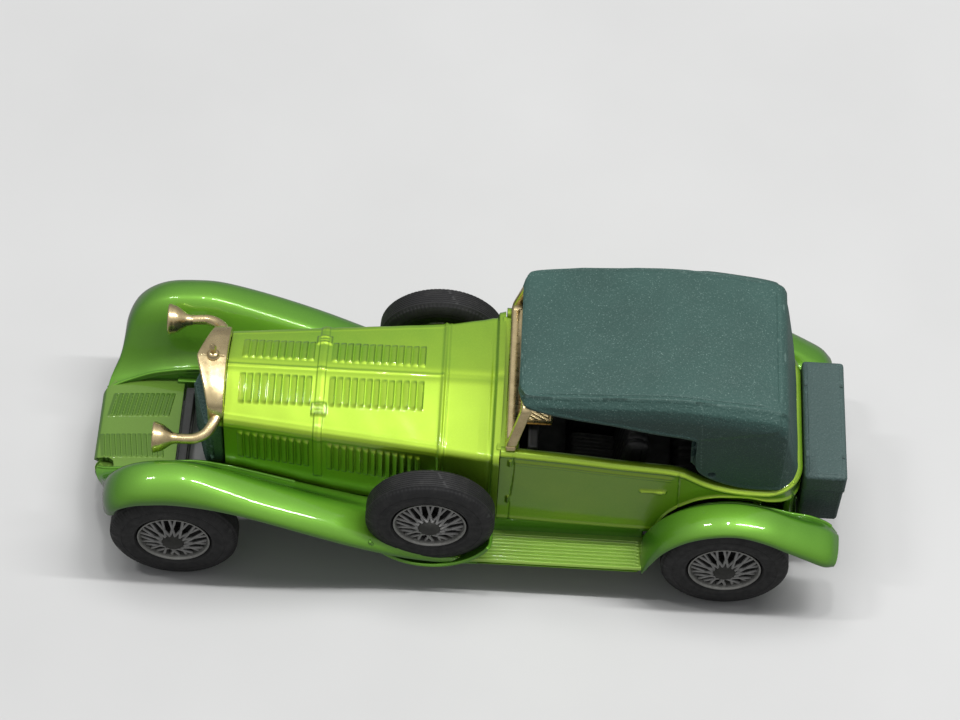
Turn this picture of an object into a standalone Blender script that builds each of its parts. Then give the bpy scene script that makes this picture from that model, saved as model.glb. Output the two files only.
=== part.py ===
"""Diecast collector car: a vintage open tourer with its hood raised, at about 1:45.

Frame: +Z up, the nose points along -X, the origin is on the ground under the middle of the length.
Lengths are in millimetres, and MM turns them into metres where vertices are made.
"""
import math

import bmesh
import bpy
from mathutils import Vector

MM = 0.001

# Driving dimensions
WHEELBASE = 75.6
FRONT_AXLE_X = -39.4
REAR_AXLE_X = FRONT_AXLE_X + WHEELBASE
TYRE_R = 8.8
TYRE_WIDTH = 4.2
TYRE_BORE_R = 4.9
WHEEL_Y = 15.85
RIM_FLANGE_R = 5.0
RIM_SEAT_R = 4.6
AXLE_R = 0.8
AXLE_CLEARANCE = 0.1
SPARE_X, SPARE_Y, SPARE_Z = -4.4, 15.4, 15.1
SHELL = 0.9
GAP = 0.3

FLOOR_Z, FLOOR_T = 9.9, 0.6
BODY_BASE_Z = FLOOR_Z + FLOOR_T + GAP
BOARD_TOP_Z, BOARD_T, BOARD_Y = 7.2, 1.0, 17.2
SILL_Y = 12.0
HOOD_FRONT_X, COWL_BAND_X, COWL_X, CABIN_REAR_X = -33.0, -3.6, 4.6, 45.6
HOOD_FRONT_HALF, COWL_HALF, CABIN_HALF = 7.8, 12.4, 13.0
APRON_FRONT_X, APRON_REAR_X = -51.8, -40.3
TAIL_X = 51.8
BASE_Z, BASE_T = 6.3, 1.0
RIVET_X = (-22.0, 42.4)
RIVET_R = 0.85


# ---------------------------------------------------------------- helpers

def clear_scene():
    for obj in list(bpy.data.objects):
        bpy.data.objects.remove(obj)


def new_collection(name):
    collection = bpy.data.collections.new(name)
    bpy.context.scene.collection.children.link(collection)
    return collection


def material(name, colour, roughness, metallic=0.0):
    made = bpy.data.materials.new(name)
    made.use_nodes = True
    shader = made.node_tree.nodes["Principled BSDF"]
    shader.inputs["Base Color"].default_value = (*colour, 1.0)
    shader.inputs["Roughness"].default_value = roughness
    shader.inputs["Metallic"].default_value = metallic
    return made


def place(bm, name, mat=None, smooth_deg=35):
    """Puts a bmesh in the scene: a part if it has a material, otherwise a hidden tool."""
    bmesh.ops.recalc_face_normals(bm, faces=bm.faces)
    mesh = bpy.data.meshes.new(name)
    bm.to_mesh(mesh)
    bm.free()
    obj = bpy.data.objects.new(name, mesh)
    if mat:
        mesh.materials.append(mat)
        mesh.shade_smooth()
        mesh.set_sharp_from_angle(angle=math.radians(smooth_deg))
        PARTS.objects.link(obj)
    else:
        TOOLS.objects.link(obj)
        obj.hide_render = True
        obj.display_type = "WIRE"
    return obj


def loft_bm(rings, caps=True, closed=True):
    """Skins a list of rings that have the same number of points."""
    bm = bmesh.new()
    rows = [[bm.verts.new(Vector(p) * MM) for p in ring] for ring in rings]
    count = len(rows[0])
    for a, b in zip(rows, rows[1:]):
        for i in range(count if closed else count - 1):
            j = (i + 1) % count
            bm.faces.new((a[i], a[j], b[j], b[i]))
    bmesh.ops.triangulate(bm, faces=bm.faces)
    if caps:
        bm.faces.new(rows[0])
        bm.faces.new(rows[-1])
    return bm


def box_bm(low, high):
    bm = bmesh.new()
    bmesh.ops.create_cube(bm, size=1.0)
    size = [(h - l) * MM for l, h in zip(low, high)]
    centre = [(h + l) / 2 * MM for l, h in zip(low, high)]
    bmesh.ops.scale(bm, vec=size, verts=bm.verts)
    bmesh.ops.translate(bm, vec=centre, verts=bm.verts)
    return bm


def prism_bm(outline, axis, low, high):
    """A closed outline pushed along one axis; its points give the other two coordinates in order."""
    def point(pair, along):
        rest = list(pair)
        rest.insert(axis, along)
        return rest
    return loft_bm([[point(p, low) for p in outline], [point(p, high) for p in outline]])


def cylinder_bm(radius, axis, low, high, centre, segments=32):
    """A cylinder along axis between low and high; centre gives the other two coordinates in order."""
    ring = [(centre[0] + radius * math.cos(t), centre[1] + radius * math.sin(t))
            for t in (2 * math.pi * k / segments for k in range(segments))]
    return prism_bm(ring, axis, low, high)


def boolean(obj, tool, operation):
    modifier = obj.modifiers.new(operation.title(), "BOOLEAN")
    modifier.operation = operation
    modifier.object = tool
    modifier.solver = "EXACT"


def cut(obj, bm, name):
    boolean(obj, place(bm, name), "DIFFERENCE")


def join(obj, bm, name):
    boolean(obj, place(bm, name), "UNION")


def bevel(obj, width, segments=2, angle_deg=40):
    modifier = obj.modifiers.new("Bevel", "BEVEL")
    modifier.width = width * MM
    modifier.segments = segments
    modifier.limit_method = "ANGLE"
    modifier.angle_limit = math.radians(angle_deg)


def mirror_y(obj):
    """Keeps the right half, cut at y = 0, and mirrors it to the left."""
    modifier = obj.modifiers.new("Mirror", "MIRROR")
    modifier.use_axis = (False, True, False)
    modifier.use_bisect_axis = (False, True, False)
    modifier.use_bisect_flip_axis = (False, False, False)
    modifier.use_clip = True
    modifier.merge_threshold = modifier.bisect_threshold = 0.000001


def interpolate(x, table):
    """Linear interpolation in a table of (x, value) pairs."""
    if x <= table[0][0]:
        return table[0][1]
    for (x0, v0), (x1, v1) in zip(table, table[1:]):
        if x <= x1:
            return v0 + (v1 - v0) * (x - x0) / (x1 - x0)
    return table[-1][1]


def turned(name, profile, mat, centre, outward, steps):
    """Turns (radius, height) points on a wheel's axis; height runs outward, towards -1 left or +1 right.

    A profile that starts on the axis ends on it too; any other profile is closed into a ring.
    """
    mesh = bpy.data.meshes.new(name)
    points = [(r * MM, 0, h * MM) for r, h in profile]
    edges = [(i, i + 1) for i in range(len(points) - 1)]
    if profile[0][0] > 0:
        edges.append((len(points) - 1, 0))
    mesh.from_pydata(points, edges, [])
    mesh.materials.append(mat)
    obj = bpy.data.objects.new(name, mesh)
    PARTS.objects.link(obj)
    obj.location = Vector(centre) * MM
    obj.rotation_euler = (-outward * math.pi / 2, 0, 0)
    screw = obj.modifiers.new("Screw", "SCREW")
    screw.steps = screw.render_steps = steps
    screw.use_merge_vertices = True
    screw.merge_threshold = 0.00001
    screw.use_normal_calculate = True
    screw.use_smooth_shade = True
    return obj


# ---------------------------------------------------------------- fenders

def bezier(p0, p1, p2, p3, steps):
    for k in range(steps):
        t = k / steps
        yield (p0 * (1 - t) ** 3 + p1 * (3 * t * (1 - t) ** 2)
               + p2 * (3 * t * t * (1 - t)) + p3 * t ** 3)


def fender_section(crest, inner, lip, y_out, shoulder):
    """Points across a fender, from its inner edge over the crest to the outer lip."""
    edge = Vector(inner)
    top = Vector((crest[0], y_out - shoulder, crest[1]))
    reach = Vector((0, (top.y - edge.y) * 0.45, 0))
    points = list(bezier(edge, edge + reach, top - reach, top, 5))
    end = Vector((lip[0], y_out, lip[1]))
    for k in range(4):
        t = math.pi / 2 * k / 4
        points.append(Vector((top.x + (end.x - top.x) * (1 - math.cos(t)),
                              top.y + shoulder * math.sin(t),
                              top.z + (end.z - top.z) * (1 - math.cos(t)) * 0.85)))
    points.append(end)
    return points


# Each station: crest (x, z), inner edge (x, y, z), outer lip (x, z), outer y, foot of the inner wall z
FRONT_FENDER = (
    ((-49.2, 12.4), (-51.2, 6.6, 9.5), (-46.9, 15.4), 18.0, 8.6),
    ((-49.0, 15.2), (-49.6, 7.2, 10.2), (-46.5, 16.5), 18.4, 8.2),
    ((-47.9, 18.0), (-47.4, 7.6, 11.1), (-45.7, 17.3), 18.6, 8.0),
    ((-45.8, 20.3), (-44.9, 7.8, 12.2), (-44.2, 18.1), 18.7, 8.0),
    ((-43.0, 21.7), (-42.4, 7.8, 13.0), (-42.4, 18.6), 18.8, 8.0),
    ((-39.4, 22.2), (-39.6, 7.8, 13.6), (-39.6, 18.9), 18.8, 8.0),
    ((-36.0, 21.9), (-36.4, 7.8, 13.9), (-36.2, 18.8), 18.9, 8.0),
    ((-32.0, 20.5), (-32.2, 8.3, 13.8), (-32.2, 18.0), 18.9, 8.4),
    ((-27.0, 18.4), (-27.0, 8.85, 13.0), (-27.2, 16.3), 18.9, 9.0),
    ((-21.0, 15.9), (-21.0, 9.5, 12.0), (-21.2, 13.7), 18.8, 9.0),
    ((-15.0, 13.2), (-15.0, 10.15, 11.2), (-15.2, 10.9), 18.5, 9.0),
    ((-10.0, 10.9), (-10.0, 10.7, 10.6), (-10.1, 8.7), 18.1, 8.4),
    ((-6.0, 9.1), (-6.0, 11.15, 9.1), (-6.0, 7.4), 17.8, 7.4),
    ((-2.0, 7.8), (-2.0, 11.6, 7.8), (-2.0, 6.6), 17.5, 6.6),
    ((2.4, 7.2), (2.4, 11.4, 7.2), (2.4, 6.2), 17.2, 6.2),
)
REAR_FENDER = (
    ((24.6, 7.2), (26.3, 12.4, 7.2), (25.0, 6.2), 17.4, 6.2),
    ((25.0, 10.6), (27.0, 12.4, 10.6), (26.0, 9.6), 18.0, 8.0),
    ((26.6, 14.6), (28.2, 12.4, 13.5), (27.6, 13.5), 18.5, 10.0),
    ((29.4, 17.8), (30.4, 12.4, 16.2), (30.2, 16.4), 18.7, 10.0),
    ((33.0, 19.7), (33.4, 12.4, 17.9), (33.4, 18.1), 18.8, 10.0),
    ((37.0, 20.2), (37.0, 12.4, 18.6), (37.0, 18.6), 18.8, 10.0),
    ((41.0, 19.3), (40.8, 12.4, 17.8), (40.6, 17.5), 18.8, 10.0),
    ((44.6, 17.6), (44.4, 12.4, 16.4), (44.0, 15.6), 18.8, 10.0),
    ((47.6, 15.9), (47.4, 12.3, 15.2), (46.9, 13.8), 18.7, 10.4),
    ((50.2, 14.2), (50.0, 12.3, 13.7), (49.4, 12.2), 18.5, 11.4),
    ((51.5, 12.7), (51.3, 12.9, 12.5), (50.9, 11.4), 17.8, 11.6),
)
FENDER_SHOULDER = 4.1


def offset_grid(grid, distance):
    """Every point of a grid moved against the surface normal that its neighbours give."""
    moved = []
    for i, row in enumerate(grid):
        ahead, behind = grid[min(i + 1, len(grid) - 1)], grid[max(i - 1, 0)]
        new_row = []
        for j, point in enumerate(row):
            along = ahead[j] - behind[j]
            across = row[min(j + 1, len(row) - 1)] - row[max(j - 1, 0)]
            new_row.append(point - along.cross(across).normalized() * distance)
        moved.append(new_row)
    return moved


def fender_bm(stations):
    """A fender shell: the outer skin, the same skin moved inwards, and strips that close its edges."""
    outer = [fender_section(c, i, l, y, FENDER_SHOULDER) for c, i, l, y, _ in stations]
    inner = offset_grid(outer, SHELL)
    bm = loft_bm([a + b[::-1] for a, b in zip(outer, inner)], caps=False)
    bm.verts.ensure_lookup_table()
    count = len(outer[0])
    for start in (0, 2 * count * (len(outer) - 1)):
        ring = bm.verts[start:start + 2 * count]
        for j in range(count - 1):
            bm.faces.new((ring[j], ring[j + 1], ring[2 * count - 2 - j], ring[2 * count - 1 - j]))
    bmesh.ops.triangulate(bm, faces=bm.faces)
    return bm


def valance_bm(stations):
    """The upright wall that hangs from a fender's inner edge."""
    rings = []
    for _, (x, y, z), _, _, foot in stations:
        near, far = y + 0.05, y + SHELL
        rings.append([(x, near, foot), (x, far, foot), (x, far, z - 0.15), (x, near, z - 0.15)])
    return loft_bm(rings)


# ---------------------------------------------------------------- chassis casting

def hood_half(x):
    return interpolate(x, ((HOOD_FRONT_X, HOOD_FRONT_HALF), (COWL_BAND_X, 11.0), (COWL_X, COWL_HALF)))


def chassis_casting(mat):
    """Fenders, running boards, apron, floor and axle bearings in one casting, built as a right half."""
    floor_edge = [(-37.0, -1.0), (-37.0, 1.5), (-35.6, 5.0), (-34.6, 8.3), (-27.0, 8.9), (-21.0, 9.6),
                  (-15.0, 10.4), (-10.0, 11.0), (-4.0, 11.6), (1.0, SILL_Y), (24.0, SILL_Y), (24.4, 12.8),
                  (46.0, 12.8), (46.0, 6.0), (51.2, 6.0), (51.2, -1.0)]
    obj = place(prism_bm(floor_edge, 2, FLOOR_Z, FLOOR_Z + FLOOR_T), "chassis_casting", mat)
    for stations in (FRONT_FENDER, REAR_FENDER):
        join(obj, fender_bm(stations), "fender_tool")
        join(obj, valance_bm(stations), "valance_tool")
    join(obj, box_bm((-0.3, 11.0, BOARD_TOP_Z - BOARD_T), (26.3, BOARD_Y, BOARD_TOP_Z - 0.02)), "board_tool")
    join(obj, box_bm((-1.0, SILL_Y - 1.2, BOARD_TOP_Z - 0.9), (25.0, SILL_Y, FLOOR_Z + 0.5)), "sill_tool")
    apron = [(-51.8, 9.0), (-51.4, 9.8), (-49.0, 10.2), (-45.0, 10.6), (APRON_REAR_X, 10.9),
             (APRON_REAR_X, 9.9), (-45.0, 9.6), (-49.0, 9.2), (-51.0, 8.7)]
    join(obj, prism_bm(apron, 1, -1.0, 8.1), "apron_tool")
    nose_trim = [(-53.0, 5.7), (-51.7, 5.7), (-50.2, 7.3), (-49.4, 9.0), (-53.0, 9.0)]
    cut(obj, prism_bm(nose_trim, 2, 5.0, 9.35), "nose_trim_tool")
    for low, high in (((FRONT_AXLE_X - 1.9, 7.3, 6.6), (FRONT_AXLE_X + 1.9, 8.55, 11.4)),
                      ((REAR_AXLE_X - 1.9, 8.2, 6.6), (REAR_AXLE_X + 1.9, 9.8, FLOOR_Z + 0.3))):
        join(obj, box_bm(low, high), "bearing_tool")
    join(obj, spare_well_bm(), "spare_well_tool")
    cut(obj, cylinder_bm(TYRE_R + GAP, 1, SPARE_Y - TYRE_WIDTH / 2 - GAP, SPARE_Y + TYRE_WIDTH / 2 + GAP,
                         (SPARE_X, SPARE_Z), 48), "spare_pocket_tool")
    hub_end = SPARE_Y - TYRE_WIDTH / 2 + 0.4
    join(obj, cylinder_bm(1.5, 1, 11.7, hub_end - GAP, (SPARE_X, SPARE_Z), 20), "spare_boss_tool")
    join(obj, spare_bracket_bm(), "spare_bracket_tool")
    for x in (FRONT_AXLE_X, REAR_AXLE_X):
        cut(obj, cylinder_bm(AXLE_R + AXLE_CLEARANCE, 1, 6.0, 11.0, (x, TYRE_R)), "axle_bore_tool")
    for x in RIVET_X:
        cut(obj, cylinder_bm(RIVET_R + GAP, 2, 9.0, 11.5, (x, 0.0), 24), "rivet_hole_tool")
    mirror_y(obj)
    notch_x, notch_y, notch_r = -49.95, -6.65, 1.1
    join(obj, cylinder_bm(notch_r + 0.4, 2, 8.2, 9.9, (notch_x, notch_y), 24), "notch_boss_tool")
    cut(obj, cylinder_bm(notch_r, 2, 8.9, 12.5, (notch_x, notch_y), 24), "notch_tool")
    cut(obj, box_bm((-53.0, notch_y - notch_r, 8.9), (notch_x, notch_y + notch_r, 12.5)), "notch_mouth_tool")
    return obj


def spare_well_bm():
    """A bowl under the front fender that takes the foot of the spare wheel."""
    radius = TYRE_R + GAP + 0.5
    bottom = [(SPARE_X + radius * math.cos(t), SPARE_Z + radius * math.sin(t))
              for t in (math.radians(205 + 98 * k / 14) for k in range(15))]
    top = [(x, z - 0.35) for x, z in (s[0] for s in reversed(FRONT_FENDER)) if bottom[0][0] + 1.2 < x < 1.0]
    return prism_bm(bottom + top, 1, SPARE_Y - TYRE_WIDTH / 2 - 1.0, SPARE_Y + TYRE_WIDTH / 2 + 0.8)


def spare_bracket_bm():
    """The upright beside the cowl that carries the spare wheel's boss."""
    outline = [(-6.6, 10.3), (-2.2, 10.3), (-3.0, 15.2), (-4.4, 16.1), (-5.8, 15.2)]
    return prism_bm(outline, 1, 11.6, 12.2)


# ---------------------------------------------------------------- body casting

CABIN_TOP = ((COWL_X, 26.2), (29.0, 24.9), (30.2, 24.2), (31.6, 23.1), (33.4, 22.1), (35.5, 21.4),
             (38.0, 21.05), (40.0, 21.0), (CABIN_REAR_X, 21.0))
CABIN_WIDTH = ((COWL_X, 12.35), (25.0, CABIN_HALF), (40.2, CABIN_HALF), (41.8, 12.8), (43.2, 12.3),
               (44.4, 11.3), (45.2, 10.0), (CABIN_REAR_X, 8.6))
# Lower edge of the body over the rear wheel as (x, z)
BODY_ARCH = ((25.9, 5.0), (26.0, 9.8), (26.4, 11.6), (27.2, 13.9), (28.4, 15.9), (30.0, 17.6), (31.9, 19.0),
             (34.5, 19.9), (37.8, 20.15), (41.3, 19.4), (44.2, 18.0), (47.0, 16.6), (47.0, 5.0))


def hood_ring(x, half, crease_z, top_z):
    """One cross-section of the hood and cowl: a lightly crowned top, a soft crease and upright sides."""
    drop = top_z - crease_z
    half_top = [(y * half, top_z - drop * (0.75 * y + 0.25 * y * y)) for y in (0.0, 0.35, 0.68, 0.93)]
    side = [(half, crease_z - 0.35), (half, BODY_BASE_Z)]
    right = half_top + side
    return [(x, y, z) for y, z in right] + [(x, -y, z) for y, z in reversed(right[1:])]


def cabin_ring(x):
    return hood_ring(x, interpolate(x, CABIN_WIDTH), interpolate(x, CABIN_TOP) - 0.001,
                     interpolate(x, CABIN_TOP))


def body_casting(mat):
    """Hood, cowl, doors and rear panels in one hollow casting, with posts for the rivets."""
    rings = [hood_ring(x, hood_half(x), crease_z, 26.45)
             for x, crease_z in ((HOOD_FRONT_X, 23.5), (COWL_BAND_X, 23.6), (1.5, 24.1), (COWL_X, 25.0))]
    rings += [cabin_ring(x) for x in (5.6, 17.0, 25.0, 29.0, 30.2, 31.6, 33.4, 35.5, 38.0, 40.2, 41.8,
                                      43.2, 44.4, 45.2, CABIN_REAR_X)]
    obj = place(loft_bm(rings), "body_casting", mat)
    hollow_section = ((-1, 5.0), (1, 5.0), (1, 21.6), (0.8, 23.0), (-0.8, 23.0), (-1, 21.6))
    hollow = [[(x, y * (hood_half(x) - 1.4), z) for y, z in hollow_section]
              for x in (-31.6, COWL_BAND_X, 5.4)]
    cut(obj, loft_bm(hollow), "hood_hollow_tool")
    cabin = [(7.0, 11.1), (25.0, 11.8), (38.0, 11.8), (39.4, 10.6), (39.4, -10.6), (38.0, -11.8),
             (25.0, -11.8), (7.0, -11.1)]
    cut(obj, prism_bm(cabin, 2, 5.0, 40.0), "cabin_tool")
    cut(obj, box_bm((5.0, -11.2, 25.6), (8.0, 11.2, 30.0)), "scuttle_tool")
    cut(obj, box_bm((40.6, -9.4, 5.0), (44.2, 9.4, 19.6)), "boot_tool")
    for side in (-1, 1):
        low, high = sorted((side * 10.9, side * 14.5))
        cut(obj, prism_bm(BODY_ARCH, 1, low, high), "arch_tool")
    for x, radius in zip(RIVET_X, (1.9, 1.7)):
        top = 23.5 if x < 0 else 20.2
        join(obj, cylinder_bm(radius, 2, BODY_BASE_Z + 0.1, top, (x, 0.0), 20), "post_tool")
    for x in RIVET_X:
        cut(obj, cylinder_bm(RIVET_R + 0.15, 2, 9.0, 16.5, (x, 0.0), 20), "post_bore_tool")
    return obj


# ---------------------------------------------------------------- radiator and lamps

# Right half of the surround's arch as (y, z), from the shoulder to the middle
RADIATOR_ARCH = ((7.3, 24.1), (6.8, 25.6), (4.4, 27.1), (0.0, 28.0))
RADIATOR_REAR_X, RADIATOR_SIDE_X, RADIATOR_APEX_X = -33.3, -34.9, -37.2
SURROUND_FOOT_Z = 21.7
CAP_X = -34.9
LAMP_FACE = (-42.2, 10.05, 22.2)
LAMP_R = 2.15


def radiator_outline(foot, distance):
    """Front outline of the radiator above foot, moved inwards by a distance."""
    right = [(max(y - distance, 0.0), z - distance) for y, z in RADIATOR_ARCH]
    left = [(-y, z) for y, z in reversed(right[:-1])]
    return [(-right[0][0], foot), (right[0][0], foot)] + right + left


def v_plan_bm(back, low, high, width=9.0, rear=RADIATOR_REAR_X):
    """A prism whose front is the radiator's V in plan, moved back by the given distance."""
    side = RADIATOR_SIDE_X + (width - 7.8) * (RADIATOR_SIDE_X - RADIATOR_APEX_X) / 7.8
    plan = [(rear, -width), (rear, width), (side + back, width), (RADIATOR_APEX_X + back, 0.0),
            (side + back, -width)]
    return prism_bm(plan, 2, low, high)


def lamp_bm(side):
    """A trumpet-shaped lamp facing -X, with its dished front."""
    x, y, z = LAMP_FACE
    profile = [(0.9, 0.02), (0.0, 1.85), (-0.12, LAMP_R), (0.3, LAMP_R), (0.9, 1.95), (1.5, 1.6),
               (2.1, 1.12), (2.6, 0.8), (3.6, 0.55)]
    steps = 20
    rings = [[(x + dx, side * y + r * math.cos(a), z + r * math.sin(a))
              for a in (2 * math.pi * k / steps for k in range(steps))] for dx, r in profile]
    return loft_bm(rings)


def arm_bm(side):
    """The bent arm from the radiator's side to the lamp's neck, as a swept tube."""
    path = [(-34.1, 6.9, 23.3), (-34.5, 8.3, 23.0), (-35.5, 9.6, 22.6), (-36.9, 10.15, 22.4),
            (-38.2, 10.15, 22.3), (-39.3, 10.05, 22.2)]
    radii = (0.8, 0.76, 0.72, 0.7, 0.68, 0.65)
    steps = 12
    rings = []
    for k, point in enumerate(path):
        ahead = Vector(path[min(k + 1, len(path) - 1)])
        behind = Vector(path[max(k - 1, 0)])
        along = (ahead - behind).normalized()
        across = along.cross(Vector((0, 0, 1))).normalized()
        above = across.cross(along)
        ring = [Vector(point) + (across * math.cos(a) + above * math.sin(a)) * radii[k]
                for a in (2 * math.pi * i / steps for i in range(steps))]
        rings.append([(p.x, side * p.y, p.z) for p in ring])
    return loft_bm(rings)


def cap_bm():
    """Filler cap with a plain pointed finial, turned on Z."""
    profile = [(0.8, 27.0), (0.8, 28.3), (0.65, 28.5), (0.38, 28.6), (0.34, 29.0), (0.5, 29.4), (0.42, 29.9),
               (0.12, 30.5)]
    steps = 16
    return loft_bm([[(CAP_X + r * math.cos(a), r * math.sin(a), z)
                     for a in (2 * math.pi * k / steps for k in range(steps))] for r, z in profile])


def radiator_shell(mat):
    """Plated arch with an open foot and a pocket for the core, filler cap, lamp arms and lamps."""
    arch = prism_bm(radiator_outline(SURROUND_FOOT_Z, 0.0), 0, -38.0, RADIATOR_REAR_X)
    obj = place(arch, "radiator_shell", mat)
    boolean(obj, place(v_plan_bm(0.0, 5.0, 32.0), "radiator_v_tool"), "INTERSECT")
    cut(obj, prism_bm(radiator_outline(SURROUND_FOOT_Z - 2.0, 0.75), 0, -40.0, -34.3), "core_pocket_tool")
    join(obj, cap_bm(), "filler_cap_tool")
    for side in (-1, 1):
        join(obj, arm_bm(side), "arm_tool")
        join(obj, lamp_bm(side), "lamp_tool")
    return obj


def radiator_core(mat):
    """Core that fills the arch and stands a little proud of it; its wider foot has rounded corners."""
    obj = place(prism_bm(radiator_outline(20.0, 1.05), 0, -40.0, -34.6), "radiator_core", mat)
    corner = [(7.1, SURROUND_FOOT_Z - GAP), (7.1, 13.6), (6.7, 12.2), (5.8, 11.3), (4.5, 11.0)]
    foot = corner + [(-y, z) for y, z in reversed(corner)]
    join(obj, prism_bm(foot, 0, -40.0, RADIATOR_REAR_X), "core_foot_tool")
    boolean(obj, place(v_plan_bm(-0.6, 5.0, 32.0), "core_v_tool"), "INTERSECT")
    return obj


# ---------------------------------------------------------------- windscreen, hood, interior, trunk

SCREEN_FOOT = (5.1, 26.7)
SCREEN_HEAD = (7.1, 34.6)


def windscreen_frame(mat):
    """A raked rectangular frame with a solid depth of 1.4, and the shelf behind its lower bar."""
    (x0, z0), (x1, z1) = SCREEN_FOOT, SCREEN_HEAD
    depth = 1.4

    def ring(half_low, half_high, low, high):
        corners = ((-half_low, low), (half_low, low), (half_high, high), (-half_high, high))
        return [(x0 + (x1 - x0) * s, y, z0 + (z1 - z0) * s) for y, s in corners]
    outer = ring(12.2, 11.3, 0.0, 1.0)
    inner = ring(11.0, 10.3, 0.14, 0.89)
    outer_rear = [(x + depth, y, z) for x, y, z in outer]
    inner_rear = [(x + depth, y, z) for x, y, z in inner]
    loops = [outer, outer_rear, inner_rear, inner]
    bm = loft_bm(loops + [outer], caps=False)
    bmesh.ops.remove_doubles(bm, verts=bm.verts, dist=0.001 * MM)
    obj = place(bm, "windscreen_frame", mat)
    join(obj, box_bm((x0 + 0.3, -7.4, 26.0), (11.4, 7.4, 26.9)), "shelf_tool")
    bevel(obj, 0.2)
    return obj


# Stations of the raised hood: x, centre height, crease half-width and height, side half-width at the waist
TOP_STATIONS = (
    (6.5, 36.9, 8.2, 36.3, 9.0),
    (7.0, 37.1, 9.6, 36.6, 10.7),
    (8.2, 37.3, 10.5, 36.8, 11.8),
    (14.0, 37.9, 10.8, 37.3, 12.3),
    (21.0, 38.5, 10.9, 37.9, 12.5),
    (28.0, 38.7, 10.9, 38.2, 12.6),
    (35.0, 38.0, 10.9, 37.4, 12.6),
    (41.4, 36.6, 10.6, 36.0, 12.6),
    (42.6, 33.2, 10.4, 32.6, 12.3),
    (43.5, 29.2, 10.2, 28.6, 11.6),
    (44.3, 25.4, 9.6, 24.9, 10.6),
    (44.9, 22.2, 8.2, 21.9, 8.9),
)
TOP_FOOT_Z = 20.0


def top_ring(station, wall):
    """One cross-section of the hood's skin, moved inwards by the wall thickness."""
    x, centre_z, crease_y, crease_z, waist_y = station
    crease_y, waist_y = crease_y - wall, waist_y - wall
    crease_z, centre_z = crease_z - wall, centre_z - wall
    fall = crease_z - TOP_FOOT_Z
    right = [(0.0, centre_z), (crease_y * 0.55, centre_z * 0.65 + crease_z * 0.35), (crease_y, crease_z),
             (crease_y + (waist_y - crease_y) * 0.62, crease_z - fall * 0.06),
             (crease_y + (waist_y - crease_y) * 0.9, crease_z - fall * 0.2),
             (waist_y, crease_z - fall * 0.5), (waist_y, TOP_FOOT_Z if wall == 0 else TOP_FOOT_Z - 3.0)]
    return [(x, y, z) for y, z in right] + [(x, -y, z) for y, z in reversed(right[1:])]


def soft_top(mat):
    """Raised hood: a thin shell with the side openings and the curved foot that follows the body."""
    obj = place(loft_bm([top_ring(s, 0.0) for s in TOP_STATIONS]), "soft_top", mat, 30)
    wall = 1.1
    front = [(s[0] + 1.2, *s[1:]) for s in TOP_STATIONS[:3]]
    rear = [(s[0] - 1.0, *s[1:]) for s in TOP_STATIONS[7:11]]
    hollow = [top_ring(s, wall) for s in front + list(TOP_STATIONS[3:7]) + rear]
    cut(obj, loft_bm(hollow), "top_hollow_tool")
    opening = [(0.0, 35.3), (8.0, 35.2), (10.9, 34.8), (18.8, 33.8), (24.4, 32.7), (30.4, 31.6),
               (30.3, 27.5), (30.6, 25.6), (31.2, 24.7), (32.2, 23.7), (33.8, 22.7), (35.6, 22.0),
               (38.0, 21.4), (40.0, 21.35),
               (50.0, 21.35), (50.0, 15.0), (0.0, 15.0)]
    cut(obj, prism_bm(opening, 1, -20.0, 20.0), "side_opening_tool")
    return obj


def interior(mat):
    """Black tub with a dashboard, two front seats and a rear bench."""
    obj = place(box_bm((7.4, -10.6, BODY_BASE_Z), (39.0, 10.6, 11.8)), "interior", mat)
    join(obj, box_bm((7.4, -10.3, 11.3), (9.6, 10.3, 25.2)), "dashboard_tool")
    back = [(20.2, 11.5), (23.4, 11.5), (24.6, 25.4), (22.4, 26.4), (21.6, 25.6)]
    for side in (-1, 1):
        low, high = sorted((side * 1.0, side * 9.9))
        join(obj, prism_bm(back, 1, low, high), "seat_back_tool")
        join(obj, box_bm((14.0, low, 11.5), (20.9, high, 16.4)), "seat_tool")
    bench = [(28.6, 11.5), (28.6, 16.8), (35.4, 17.2), (36.6, 25.4), (38.2, 26.0), (38.9, 25.0),
             (38.9, 11.5)]
    join(obj, prism_bm(bench, 1, -10.4, 10.4), "bench_tool")
    return obj


def steering_wheel(mat):
    """Rim, three spokes and column in one moulding, on the car's right-hand side."""
    centre, column_foot = Vector((14.6, 5.4, 23.6)), Vector((10.15, 5.4, 20.9))
    along = (centre - column_foot).normalized()
    across = Vector((0, 1, 0))
    above = across.cross(along)
    ring_r, tube_r, steps, sides = 3.3, 0.35, 28, 8
    rings = []
    for k in range(steps):
        a = 2 * math.pi * k / steps
        out = across * math.cos(a) + above * math.sin(a)
        rings.append([centre + out * (ring_r + tube_r * math.cos(b)) + along * tube_r * math.sin(b)
                      for b in (2 * math.pi * i / sides for i in range(sides))])
    bm = loft_bm(rings + rings[:1], caps=False)
    bmesh.ops.remove_doubles(bm, verts=bm.verts, dist=0.001 * MM)
    obj = place(bm, "steering_wheel", mat)
    bars = [(column_foot, centre + along * 0.3, 0.5)]
    bars += [(centre, centre + (across * math.cos(a) + above * math.sin(a)) * ring_r, 0.28)
             for a in (math.radians(d) for d in (90, 210, 330))]
    for start, end, radius in bars:
        bar = bmesh.new()
        bmesh.ops.create_cone(bar, cap_ends=True, segments=10, radius1=radius * MM, radius2=radius * MM,
                              depth=(end - start).length * MM)
        bmesh.ops.rotate(bar, verts=bar.verts, matrix=(end - start).to_track_quat("Z", "Y").to_matrix())
        bmesh.ops.translate(bar, vec=(start + end) / 2 * MM, verts=bar.verts)
        join(obj, bar, "spoke_tool")
    return obj


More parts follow.
